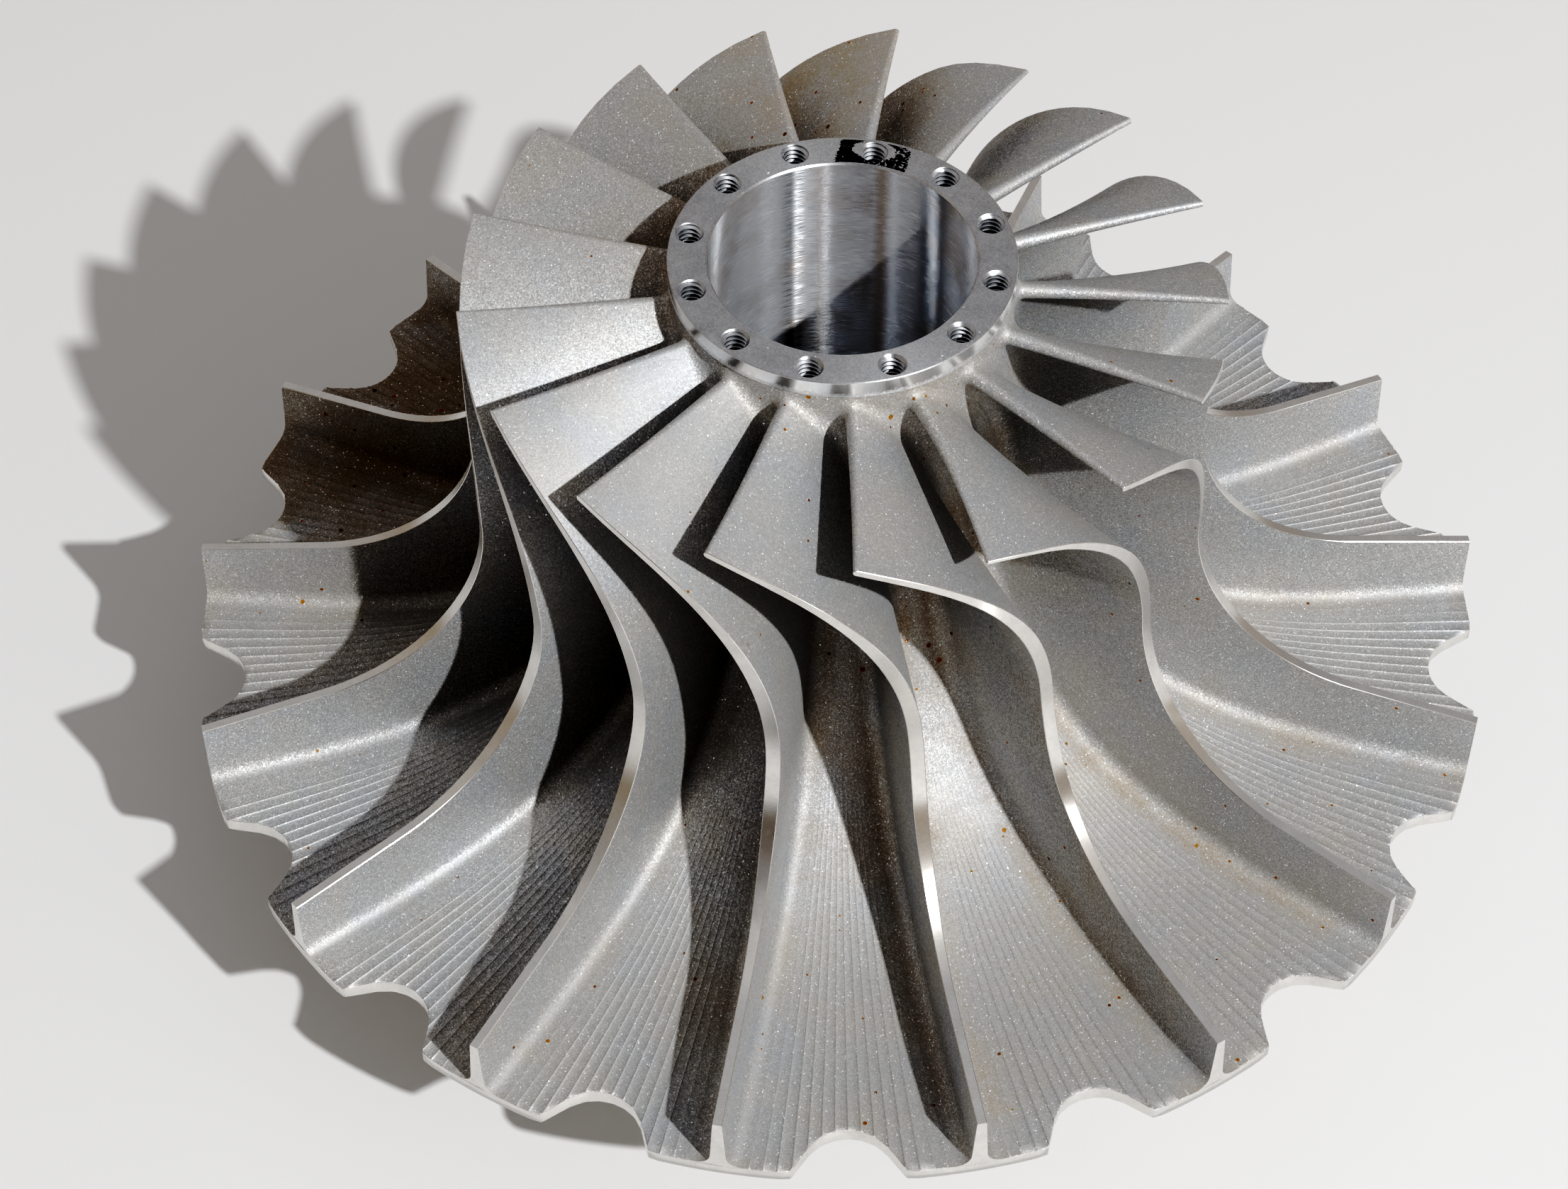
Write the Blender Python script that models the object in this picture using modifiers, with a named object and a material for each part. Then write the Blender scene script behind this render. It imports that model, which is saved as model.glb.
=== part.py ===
"""Turbine wheel: a radial inflow wheel milled and turned from one aluminium blank.

Gas enters at the rim between the blade ends, runs inward over the curved hub
and leaves upward through the twisted blade ends beside the nose ring. The
axis is +Z and the flat rear face of the boss stands on z = 0.
"""

import math

import bmesh
import bpy
from mathutils import Matrix, Vector

MM = 0.001

# Overall sizes
RIM_RADIUS = 160.0 * MM
OVERALL_HEIGHT = 184.4 * MM
BORE_RADIUS = 30.6 * MM
SEAT_GAP = 0.3 * MM

# Nose ring, with its circle of tapped holes
RING_RADIUS = 39.7 * MM
RING_HEIGHT = 5.0 * MM
RING_CHAMFER = 0.5 * MM
HOLE_COUNT = 12
HOLE_CIRCLE_RADIUS = 35.5 * MM
HOLE_RADIUS = 2.55 * MM
HOLE_DEPTH = 16.0 * MM
FIRST_HOLE_ANGLE = math.radians(107.5)

# Gas side of the hub, a superellipse from the nose down to the flat disc
HUB_NOSE_RADIUS = 39.4 * MM
HUB_FLAT_RADIUS = 147.0 * MM
HUB_POWER = 2.84
DISC_TOP = 54.1 * MM

# Rear side: thin scalloped rim, concave web and cylindrical boss
DISC_RIM_BOTTOM = 50.4 * MM
WEB_RADIUS = 96.0 * MM
WEB_BOTTOM = 46.0 * MM
BOSS_RADIUS = 52.0 * MM
BOSS_HEIGHT = 9.0 * MM
BOSS_CHAMFER = 1.0 * MM
CORE_RADIUS = 75.0 * MM

# Notches in the rim, one between each pair of blades
NOTCH_DEPTH = 11.6 * MM
NOTCH_ARC_RADIUS = 10.9 * MM
NOTCH_FLARE = math.radians(34.0)
NOTCH_CUT_MARGIN = 20.0 * MM

# Blades
BLADE_COUNT = 17
BLADE_PITCH = 2.0 * math.pi / BLADE_COUNT
FIRST_BLADE_ANGLE = math.radians(-100.1)
BLADE_TIP_RADIUS = 87.75 * MM
BLADE_OUTLET_TOP = 176.4 * MM
BLADE_INLET_TOP = 70.0 * MM
SHROUD_ARC_RADIUS = 47.5 * MM
SHROUD_SLOPE = math.radians(6.6)
BLADE_WRAP = math.radians(31.3)
WRAP_START = 84.4 * MM
WRAP_POWER = 4.54
BLADE_ROOT_THICKNESS = 3.6 * MM
BLADE_TIP_THICKNESS = 2.2 * MM
BLADE_FOOT_LIFT = 1.5 * SEAT_GAP

# Mesh fineness
TURNED_STEPS = 4 * BLADE_COUNT
HUB_POINTS = 14
WEB_POINTS = 6
NOTCH_ARC_POINTS = 9
HOLE_SIDES = 12
BLADE_LENGTH_CELLS = 18
BLADE_SPAN_CELLS = 3

NODE_COLLECTION = "turbine_wheel"
CUTTER_COLLECTION = "cutters"


def clear_scene():
    for thing in list(bpy.data.objects):
        bpy.data.objects.remove(thing, do_unlink=True)


def new_collection(name):
    collection = bpy.data.collections.new(name)
    bpy.context.scene.collection.children.link(collection)
    return collection


def metal(name, color, roughness):
    material = bpy.data.materials.new(name)
    material.use_nodes = True
    shader = material.node_tree.nodes["Principled BSDF"]
    shader.inputs["Base Color"].default_value = (*color, 1.0)
    shader.inputs["Metallic"].default_value = 1.0
    shader.inputs["Roughness"].default_value = roughness
    return material


def add_object(name, mesh, collection, material=None):
    thing = bpy.data.objects.new(name, mesh)
    collection.objects.link(thing)
    if material and not mesh.materials:
        mesh.materials.append(material)
    return thing


def mesh_from(name, build):
    work = bmesh.new()
    build(work)
    mesh = bpy.data.meshes.new(name)
    work.to_mesh(mesh)
    work.free()
    return mesh


def turned(name, profile, collection, material):
    """Turn a closed profile of (radius, height) points about the Z axis."""
    def build(work):
        ring = [work.verts.new((radius, 0.0, height)) for radius, height in profile]
        for start, end in zip(ring, ring[1:] + ring[:1]):
            work.edges.new((start, end))
    thing = add_object(name, mesh_from(name, build), collection, material)
    screw = thing.modifiers.new("Screw", "SCREW")
    screw.steps = TURNED_STEPS
    screw.render_steps = TURNED_STEPS
    screw.use_merge_vertices = True
    screw.merge_threshold = 0.00001
    return thing


def cut(thing, cutter, name):
    boolean = thing.modifiers.new(name, "BOOLEAN")
    boolean.operation = "DIFFERENCE"
    boolean.solver = "EXACT"
    boolean.object = cutter


def as_cutter(thing):
    thing.hide_render = True
    thing.display_type = "WIRE"
    return thing


def hub_contour(radius_limit):
    """Gas side of the hub from under the nose ring out to radius_limit."""
    top = OVERALL_HEIGHT - RING_HEIGHT
    reach = HUB_FLAT_RADIUS - HUB_NOSE_RADIUS
    drop = top - DISC_TOP
    points = []
    for step in range(HUB_POINTS + 1):
        angle = 0.5 * math.pi * step / HUB_POINTS
        radius = HUB_FLAT_RADIUS - reach * math.cos(angle) ** (2.0 / HUB_POWER)
        height = top - drop * math.sin(angle) ** (2.0 / HUB_POWER)
        points.append((radius, height))
    points.append((RIM_RADIUS, DISC_TOP))
    return clip_contour(points, radius_limit)


def clip_contour(points, radius_limit):
    """Keep the points inside radius_limit and end exactly on it."""
    kept = [points[0]]
    for (r0, z0), (r1, z1) in zip(points, points[1:]):
        if r1 >= radius_limit:
            share = (radius_limit - r0) / (r1 - r0)
            kept.append((radius_limit, z0 + share * (z1 - z0)))
            break
        kept.append((r1, z1))
    return kept


def web_contour():
    """Rear side from the rim inward: a cone, then a quarter ellipse to the boss."""
    points = [(RIM_RADIUS, DISC_RIM_BOTTOM)]
    across = WEB_RADIUS - BOSS_RADIUS
    down = WEB_BOTTOM - BOSS_HEIGHT
    for step in range(WEB_POINTS + 1):
        angle = 0.5 * math.pi * step / WEB_POINTS
        points.append((WEB_RADIUS - across * math.sin(angle), BOSS_HEIGHT + down * math.cos(angle)))
    return points


def height_at(points, radius):
    ordered = sorted(points)
    for (r0, z0), (r1, z1) in zip(ordered, ordered[1:]):
        if r0 <= radius <= r1:
            return z0 + (z1 - z0) * (radius - r0) / (r1 - r0)
    return ordered[-1][1]


def hub_parts(collection, metal_blasted, metal_turned):
    """Core, rear boss and scalloped disc, which meet on two hidden faces."""
    web = web_contour()
    ring_bottom = OVERALL_HEIGHT - RING_HEIGHT
    core_bottom = height_at(web, CORE_RADIUS)

    core_outline = hub_contour(CORE_RADIUS)
    core_outline[0] = (core_outline[0][0], ring_bottom - SEAT_GAP)
    core_outline.append((CORE_RADIUS, core_bottom))
    inner_web = [point for point in web if BOSS_RADIUS < point[0] < CORE_RADIUS]
    core_outline += inner_web
    core_outline.append((BOSS_RADIUS, BOSS_HEIGHT + SEAT_GAP))
    core_outline.append((BORE_RADIUS, BOSS_HEIGHT + SEAT_GAP))
    core_outline.append((BORE_RADIUS, ring_bottom - SEAT_GAP))
    core = turned("hub_core", core_outline, collection, metal_blasted)

    boss_outline = [
        (BOSS_RADIUS, BOSS_HEIGHT),
        (BOSS_RADIUS, BOSS_CHAMFER),
        (BOSS_RADIUS - BOSS_CHAMFER, 0.0),
        (BORE_RADIUS, 0.0),
        (BORE_RADIUS, BOSS_HEIGHT),
    ]
    turned("rear_boss", boss_outline, collection, metal_turned)

    inner = CORE_RADIUS + SEAT_GAP
    whole_top = hub_contour(RIM_RADIUS)
    disc_outline = [(inner, height_at(whole_top, inner))]
    disc_outline += [point for point in whole_top if point[0] > inner]
    disc_outline += [point for point in web if point[0] > inner]
    disc_outline.append((inner, height_at(web, inner)))
    disc = turned("scalloped_disc", disc_outline, collection, metal_blasted)
    return core, disc


def nose_ring(collection, material):
    top = OVERALL_HEIGHT
    bottom = OVERALL_HEIGHT - RING_HEIGHT
    outline = [
        (RING_RADIUS - RING_CHAMFER, top),
        (RING_RADIUS, top - RING_CHAMFER),
        (RING_RADIUS, bottom),
        (BORE_RADIUS, bottom),
        (BORE_RADIUS, top - RING_CHAMFER),
        (BORE_RADIUS + RING_CHAMFER, top),
    ]
    return turned("nose_ring", outline, collection, material)


def hole_cutter(collection):
    """Twelve blind holes sunk from the nose face, as one cutter."""
    length = HOLE_DEPTH + RING_HEIGHT
    middle = OVERALL_HEIGHT - HOLE_DEPTH + 0.5 * length

    def build(work):
        for index in range(HOLE_COUNT):
            angle = FIRST_HOLE_ANGLE + 2.0 * math.pi * index / HOLE_COUNT
            place = Matrix.Rotation(angle, 4, "Z") @ Matrix.Translation((HOLE_CIRCLE_RADIUS, 0.0, middle))
            bmesh.ops.create_cone(
                work, cap_ends=True, segments=HOLE_SIDES, radius1=HOLE_RADIUS,
                radius2=HOLE_RADIUS, depth=length, matrix=place)
    return as_cutter(add_object("hole_cutter", mesh_from("hole_cutter", build), collection))


def notch_outline():
    """Round bottom with straight sides that flare out of it, seen along the axis."""
    arc_centre = RIM_RADIUS - NOTCH_DEPTH + NOTCH_ARC_RADIUS
    half_angle = 0.5 * math.pi - NOTCH_FLARE
    outside = RIM_RADIUS + NOTCH_ARC_RADIUS
    points = []
    for step in range(NOTCH_ARC_POINTS):
        angle = math.pi + half_angle * (1.0 - 2.0 * step / (NOTCH_ARC_POINTS - 1))
        x = arc_centre + NOTCH_ARC_RADIUS * math.cos(angle)
        y = NOTCH_ARC_RADIUS * math.sin(angle)
        points.append((x, y))
    last_x, last_y = points[-1]
    mouth = abs(last_y) + (outside - last_x) * math.tan(NOTCH_FLARE)
    side = math.copysign(mouth, last_y)
    points.append((outside, side))
    points.insert(0, (outside, -side))
    return points


def notch_cutter(collection):
    """Seventeen notch-shaped plugs, each midway between two blades."""
    outline = notch_outline()
    low = DISC_RIM_BOTTOM - NOTCH_CUT_MARGIN
    high = DISC_TOP + NOTCH_CUT_MARGIN

    def build(work):
        for index in range(BLADE_COUNT):
            turn = Matrix.Rotation(FIRST_BLADE_ANGLE + (index + 0.5) * BLADE_PITCH, 4, "Z")
            base = work.faces.new([work.verts.new(turn @ Vector((x, y, low))) for x, y in outline])
            base.normal_update()
            if base.normal.z > 0.0:
                base.normal_flip()
            grown = bmesh.ops.extrude_face_region(work, geom=[base], use_keep_orig=True)
            moved = [item for item in grown["geom"] if isinstance(item, bmesh.types.BMVert)]
            bmesh.ops.translate(work, verts=moved, vec=(0.0, 0.0, high - low))
        bmesh.ops.recalc_face_normals(work, faces=work.faces)
    return as_cutter(add_object("notch_cutter", mesh_from("notch_cutter", build), collection))


def shroud_point(share):
    """Blade tip line: straight up the outlet, round an arc, out along a cone."""
    run = math.cos(SHROUD_SLOPE)
    rise = math.tan(SHROUD_SLOPE)
    centre_r = BLADE_TIP_RADIUS + SHROUD_ARC_RADIUS
    cone_under_centre = BLADE_INLET_TOP + (RIM_RADIUS - centre_r) * rise
    centre_z = cone_under_centre + SHROUD_ARC_RADIUS / run
    straight = BLADE_OUTLET_TOP - centre_z
    sweep = 0.5 * math.pi - SHROUD_SLOPE
    arc = SHROUD_ARC_RADIUS * sweep
    arc_end_r = centre_r - SHROUD_ARC_RADIUS * math.sin(SHROUD_SLOPE)
    cone = (RIM_RADIUS - arc_end_r) / run
    along = share * (straight + arc + cone)
    if along <= straight:
        return BLADE_TIP_RADIUS, BLADE_OUTLET_TOP - along
    if along <= straight + arc:
        angle = (along - straight) / SHROUD_ARC_RADIUS
        radius = centre_r - SHROUD_ARC_RADIUS * math.cos(angle)
        return radius, centre_z - SHROUD_ARC_RADIUS * math.sin(angle)
    left = straight + arc + cone - along
    return RIM_RADIUS - left * run, BLADE_INLET_TOP + left * math.sin(SHROUD_SLOPE)


def root_line():
    """Blade foot: the hub contour below the outlet, lifted off the hub by a little."""
    contour = hub_contour(RIM_RADIUS)
    lifted = []
    for index, (radius, height) in enumerate(contour):
        before = Vector(contour[max(index - 1, 0)])
        after = Vector(contour[min(index + 1, len(contour) - 1)])
        along = (after - before).normalized()
        lifted.append(Vector((radius, height)) + Vector((-along.y, along.x)) * BLADE_FOOT_LIFT)
    line = [point for point in lifted if point.y < BLADE_OUTLET_TOP]
    first_low = line[0]
    last_high = lifted[lifted.index(first_low) - 1]
    share = (BLADE_OUTLET_TOP - last_high.y) / (first_low.y - last_high.y)
    line.insert(0, last_high.lerp(first_low, share))
    line[-1] = Vector((RIM_RADIUS, line[-1].y))
    return line


def point_along(line, share):
    lengths = [(b - a).length for a, b in zip(line, line[1:])]
    left = share * sum(lengths)
    for (a, b), length in zip(zip(line, line[1:]), lengths):
        if left <= length:
            return a.lerp(b, left / length)
        left -= length
    return line[-1].copy()


def wrap_angle(height):
    """Turn of the blade about the axis, growing towards the outlet."""
    if height <= WRAP_START:
        return 0.0
    rise = (height - WRAP_START) / (BLADE_OUTLET_TOP - WRAP_START)
    return -BLADE_WRAP * rise ** WRAP_POWER


def blade_mesh():
    """Middle surface of one blade as a grid, which Solidify then thickens."""
    foot = root_line()

    def build(work):
        bmesh.ops.create_grid(work, x_segments=BLADE_LENGTH_CELLS, y_segments=BLADE_SPAN_CELLS, size=1.0)
        for vert in work.verts:
            share = 0.5 * (vert.co.x + 1.0)
            span = 0.5 * (vert.co.y + 1.0)
            low = point_along(foot, share)
            high = Vector(shroud_point(share))
            place = low.lerp(high, span)
            angle = wrap_angle(place.y)
            vert.co = (place.x * math.cos(angle), place.x * math.sin(angle), place.y)
        bmesh.ops.recalc_face_normals(work, faces=work.faces)
    return mesh_from("blade", build)


def blades(collection, material):
    mesh = blade_mesh()
    tip_share = BLADE_TIP_THICKNESS / BLADE_ROOT_THICKNESS
    span_rows = BLADE_SPAN_CELLS + 1
    length_rows = BLADE_LENGTH_CELLS + 1
    for index in range(BLADE_COUNT):
        blade = add_object("blade_%02d" % (index + 1), mesh, collection, material)
        group = blade.vertex_groups.new(name="thickness")
        for row in range(span_rows):
            weight = 1.0 + (tip_share - 1.0) * row / BLADE_SPAN_CELLS
            members = range(row * length_rows, (row + 1) * length_rows)
            group.add(list(members), weight, "REPLACE")
        solidify = blade.modifiers.new("Solidify", "SOLIDIFY")
        solidify.thickness = BLADE_ROOT_THICKNESS
        solidify.offset = 0.0
        solidify.vertex_group = group.name
        blade.rotation_euler.z = FIRST_BLADE_ANGLE + index * BLADE_PITCH


def shade(collection):
    for thing in collection.objects:
        thing.data.shade_smooth()
        thing.data.set_sharp_from_angle(angle=math.radians(35.0))


def main():
    clear_scene()
    nodes = new_collection(NODE_COLLECTION)
    cutters = new_collection(CUTTER_COLLECTION)
    blasted = metal("blasted_aluminium", (0.52, 0.51, 0.49), 0.45)
    turned_bright = metal("turned_aluminium", (0.72, 0.72, 0.72), 0.22)

    core, disc = hub_parts(nodes, blasted, turned_bright)
    ring = nose_ring(nodes, turned_bright)
    holes = hole_cutter(cutters)
    cut(core, holes, "Tapped holes")
    cut(ring, holes, "Tapped holes")
    cut(disc, notch_cutter(cutters), "Rim notches")
    blades(nodes, blasted)
    shade(nodes)


main()
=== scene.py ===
# %% [markdown]
# # The looks of a radial turbine wheel
# The real wheel is one block of aluminium, turned on a lathe and then milled between its
# seventeen blades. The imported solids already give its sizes, so this script only dresses them.
# It makes each piece anew with the fine forms that the solids leave out: fillets, milling
# grooves, screw threads and worn edges. It then gives every surface the finish that its tool
# left on it.

# %% Load the frame
import math

import bpy
import numpy as np
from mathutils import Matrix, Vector


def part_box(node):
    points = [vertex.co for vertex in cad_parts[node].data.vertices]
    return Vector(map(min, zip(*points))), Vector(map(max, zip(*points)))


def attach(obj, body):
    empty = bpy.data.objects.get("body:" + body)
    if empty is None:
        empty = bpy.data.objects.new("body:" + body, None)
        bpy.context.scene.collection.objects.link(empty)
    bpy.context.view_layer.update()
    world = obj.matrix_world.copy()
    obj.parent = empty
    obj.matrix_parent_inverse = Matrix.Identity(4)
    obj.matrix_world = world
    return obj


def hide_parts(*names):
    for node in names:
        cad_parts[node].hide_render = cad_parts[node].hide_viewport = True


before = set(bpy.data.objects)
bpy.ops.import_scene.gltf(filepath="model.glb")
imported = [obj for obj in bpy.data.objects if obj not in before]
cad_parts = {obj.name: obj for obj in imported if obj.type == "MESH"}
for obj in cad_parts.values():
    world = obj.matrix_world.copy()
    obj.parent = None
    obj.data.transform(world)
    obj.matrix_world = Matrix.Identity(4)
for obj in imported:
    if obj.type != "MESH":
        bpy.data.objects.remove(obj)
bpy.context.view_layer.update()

print("solids in the frame:", len(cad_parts))

# %% [markdown]
# The driving sizes come first. The rim radius and the height of the nose are read from the
# frame, so that they can't drift from it. The others repeat the design of the wheel in
# millimetres, and MM turns them into metres.

# %% Driving sizes
MM = 0.001
RIM_RADIUS = round(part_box("scalloped_disc")[1].x, 5)
NOSE_TOP = round(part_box("nose_ring")[1].z, 5)
RING_BOTTOM = round(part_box("nose_ring")[0].z, 5)

BORE_RADIUS = 30.6 * MM
RING_RADIUS = 39.7 * MM
HUB_NOSE_RADIUS = 39.4 * MM
HUB_FLAT_RADIUS = 147.0 * MM
HUB_POWER = 2.84
DISC_TOP = 54.1 * MM
DISC_BOTTOM = 50.4 * MM

BLADE_COUNT = 17
PITCH = 2.0 * math.pi / BLADE_COUNT
FIRST_BLADE_ANGLE = math.radians(-100.1)
OUTLET_TOP = 176.4 * MM
INLET_TOP = 70.0 * MM
TIP_RADIUS = 87.75 * MM
SHROUD_ARC_RADIUS = 47.5 * MM
SHROUD_SLOPE = math.radians(6.6)
WRAP_START = 100.0 * MM
SWEEP = math.radians(25.4)
SWEEP_POWER = 3.0
HOOK = math.radians(5.9)
HOOK_POWER = 12.0
HALF_ROOT = 1.8 * MM

print("rim radius %.1f mm, nose at %.1f mm" % (RIM_RADIUS / MM, NOSE_TOP / MM))

# %% [markdown]
# Operators act on whatever is selected, so each step starts from nothing selected and then
# picks one object. These helpers do that. Two more merge the points that lie on one another and
# pick the edges that still border a gap, because every body here has to be closed.

# %% Helpers for picking and joining
def pick(thing):
    if bpy.context.object and bpy.context.object.mode != "OBJECT":
        bpy.ops.object.mode_set(mode="OBJECT")
    bpy.ops.object.select_all(action="DESELECT")
    thing.select_set(True)
    bpy.context.view_layer.objects.active = thing
    return thing


def edit(thing, mode="FACE"):
    pick(thing)
    bpy.ops.object.mode_set(mode="EDIT")
    bpy.ops.mesh.select_mode(type=mode)
    bpy.ops.mesh.select_all(action="DESELECT")


def done():
    bpy.ops.object.mode_set(mode="OBJECT")


def apply_all(thing):
    pick(thing)
    for modifier in list(thing.modifiers):
        bpy.ops.object.modifier_apply(modifier=modifier.name)


def settle(thing):
    """Puts the object's place and turn into its mesh."""
    pick(thing)
    bpy.ops.object.transform_apply(location=True, rotation=True, scale=True)


def merge_points(thing, closer_than=0.002 * MM):
    edit(thing, "VERT")
    bpy.ops.mesh.select_all(action="SELECT")
    bpy.ops.mesh.remove_doubles(threshold=closer_than)


def select_open_edges():
    bpy.ops.mesh.select_all(action="DESELECT")
    bpy.ops.mesh.select_mode(type="EDGE")
    bpy.ops.mesh.select_non_manifold()

# %% [markdown]
# The curved pieces are too exact to be pulled by hand. Each starts as a plain grid, numpy works
# out where every point of it belongs, and one call bends the whole grid there. A finished piece
# has its faces turned outward, and the volume that they close is printed: a piece that is
# inside out would show there.

# %% Helpers for points and faces
SHARP_DEGREES = 30.0


def points_of(thing):
    flat = np.empty(len(thing.data.vertices) * 3)
    thing.data.vertices.foreach_get("co", flat)
    return flat.reshape(-1, 3)


def put_points(thing, points):
    thing.data.vertices.foreach_set("co", np.asarray(points, np.float32).ravel())
    thing.data.update()


def bend_grid(rows):
    """Adds a grid with a point for each place in these rows, and moves the points there."""
    bpy.ops.object.select_all(action="DESELECT")
    bpy.ops.mesh.primitive_grid_add(x_subdivisions=len(rows[0]) - 1, y_subdivisions=len(rows) - 1,
                                    size=1.0)
    put_points(bpy.context.object, np.concatenate(rows))
    return bpy.context.object


def round_axis(radius, angle, height):
    return np.stack([radius * np.cos(angle), radius * np.sin(angle), height], axis=1)


def smooth_step(value, start, end):
    share = np.clip((value - start) / (end - start), 0.0, 1.0)
    return share * share * (3.0 - 2.0 * share)


def corners_of(thing):
    """Corner points of a mesh's triangles, as three arrays."""
    thing.data.calc_loop_triangles()
    corners = np.empty(len(thing.data.loop_triangles) * 3, int)
    thing.data.loop_triangles.foreach_get("vertices", corners)
    return points_of(thing)[corners.reshape(-1, 3)].transpose(1, 0, 2)


def finish_mesh(thing, sharp_degrees=SHARP_DEGREES):
    """Turns all faces outward, smooths the shading and prints the volume that they close."""
    edit(thing)
    bpy.ops.mesh.select_all(action="SELECT")
    bpy.ops.mesh.normals_make_consistent(inside=False)
    done()
    first, second, third = corners_of(thing)
    volume = np.sum(first * np.cross(second, third)) / 6.0
    if volume < 0.0:
        edit(thing)
        bpy.ops.mesh.select_all(action="SELECT")
        bpy.ops.mesh.flip_normals()
        done()
    bpy.ops.object.shade_smooth_by_angle(angle=math.radians(sharp_degrees))
    print("%s: %d faces round %.1f cm3" % (thing.name, len(thing.data.polygons), abs(volume) / 1e-6))

# %% [markdown]
# The camera stands where the photographer stood. Its height angle and its distance were worked
# out from the blade corners and the circle of holes, and its lens from the same fit. The frame
# is a little off the wheel's centre, so the camera aims at a point beside the axis.

# %% Camera
CAMERA_HEIGHT_ANGLE = math.radians(49.36)
CAMERA_DISTANCE = 924.8 * MM
CAMERA_AIM = Vector((-13.2, -7.3, 75.7)) * MM
CAMERA_LENS = 86.15

camera_data = bpy.data.cameras.new("camera")
camera_data.lens = CAMERA_LENS
camera_data.sensor_width = 36.0
camera = bpy.data.objects.new("camera", camera_data)
bpy.context.scene.collection.objects.link(camera)
toward_camera = Vector((0.0, -math.cos(CAMERA_HEIGHT_ANGLE), math.sin(CAMERA_HEIGHT_ANGLE)))
camera.location = CAMERA_AIM + toward_camera * CAMERA_DISTANCE
camera.rotation_euler = (0.5 * math.pi - CAMERA_HEIGHT_ANGLE, 0.0, 0.0)
bpy.context.scene.camera = camera
print("camera at", [round(value, 4) for value in camera.location])

# %% [markdown]
# Colours are written as the hex codes that a paint program shows, and one function turns them
# into the linear light that a shader wants. Another adds a node. Plain values go into its
# sockets. A socket of another node is linked, and a whole node stands for its first output.

# %% Colour and node helpers
def colour(code):
    parts = [int(code[place:place + 2], 16) / 255.0 for place in (1, 3, 5)]
    linear = [part / 12.92 if part <= 0.04045 else ((part + 0.055) / 1.055) ** 2.4 for part in parts]
    return (*linear, 1.0)


def feed(node, sockets):
    """Fills sockets of a node, which are given by number or by name."""
    for name, value in sockets.items():
        named = [socket for socket in node.inputs if socket.enabled and socket.name == name]
        socket = named[0] if named else node.inputs[name]
        if isinstance(value, bpy.types.Node):
            value = [output for output in value.outputs if output.enabled][0]
        if isinstance(value, bpy.types.NodeSocket):
            node.id_data.links.new(value, socket)
        else:
            socket.default_value = value


def add(tree, kind, sockets=None, **settings):
    made = tree.nodes.new("ShaderNode" + kind)
    for name, value in settings.items():
        setattr(made, name, value)
    feed(made, sockets or {})
    return made


def new_metal(name):
    material = bpy.data.materials.new(name)
    material.use_nodes = True
    shader = material.node_tree.nodes["Principled BSDF"]
    feed(shader, {"Metallic": 1.0})
    return material, material.node_tree, shader


def per_metre(size_mm):
    """Scale of a pattern whose features are this many millimetres wide."""
    return 1.0 / (size_mm * MM)

# %% [markdown]
# Bead-blasted aluminium covers the blades, the floor between them and the hub. Glass beads
# leave a field of tiny dimples, which scatters light into a satin grey. A single rough shader
# would look like paint, so each dimple is a cell of a Voronoi pattern that tips the surface a
# little its own way. A few flat grains lean further, catch the lamp and sparkle. The real
# dimples are finer than the picture can show, so these are as coarse as it needs.

# %% Grains of the blasted finish
GRAIN_MM = 0.24
GRAIN_LEAN = 0.28
GLINT_SHARE = 0.011
GLINT_LEAN = 0.6


def tipped_grains(tree, here):
    """The grains' random colours, the surface that they tip, and a mask of the few that glint."""
    geometry = add(tree, "NewGeometry")
    grain = add(tree, "TexVoronoi", {"Vector": here, "Scale": per_metre(GRAIN_MM)}).outputs
    lean = add(tree, "VectorMath", {0: grain["Color"], 1: (0.5, 0.5, 0.5)}, operation="SUBTRACT")
    each = add(tree, "SeparateColor", {0: grain["Color"]}).outputs
    chance = add(tree, "TexWhiteNoise", {"Vector": grain["Position"]})
    glint = add(tree, "Math", {0: chance, 1: GLINT_SHARE}, operation="LESS_THAN")
    how_far = add(tree, "Mix", {"Factor": glint, "A": GRAIN_LEAN, "B": GLINT_LEAN})
    small_lean = add(tree, "VectorMath", {0: lean, "Scale": how_far}, operation="SCALE")
    tipped = add(tree, "VectorMath", {0: small_lean, 1: geometry.outputs["Normal"]}, operation="ADD")
    return each, add(tree, "VectorMath", {0: tipped}, operation="NORMALIZE"), glint


print("grains %.2f mm wide, one in %.0f glints" % (GRAIN_MM, 1.0 / GLINT_SHARE))

# %% [markdown]
# A film of brown dust lies on the metal, and rust specks sit where it is thick. How much dust a
# spot carries is a number that each mesh stores at its points, named dust. A slow noise breaks
# the film into patches, and each grain takes a little more or less of it, so that its edge is
# grainy and not painted. The specks are cells of a second Voronoi pattern. A cell shows one
# only where its random number beats a bar, and the bar is lower in thick dust.

# %% Dust film and rust specks
CLOUD_MM = 16.0
FILM_MM = 24.0
SPECK_MM = 2.6
DULLEST_GRAIN = 0.80
BRIGHTEST_GRAIN = 1.50
SPECK_BAR_CLEAN = 1.02
SPECK_BAR_DUSTY = 0.45
SPECK_LARGEST = 0.28


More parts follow.
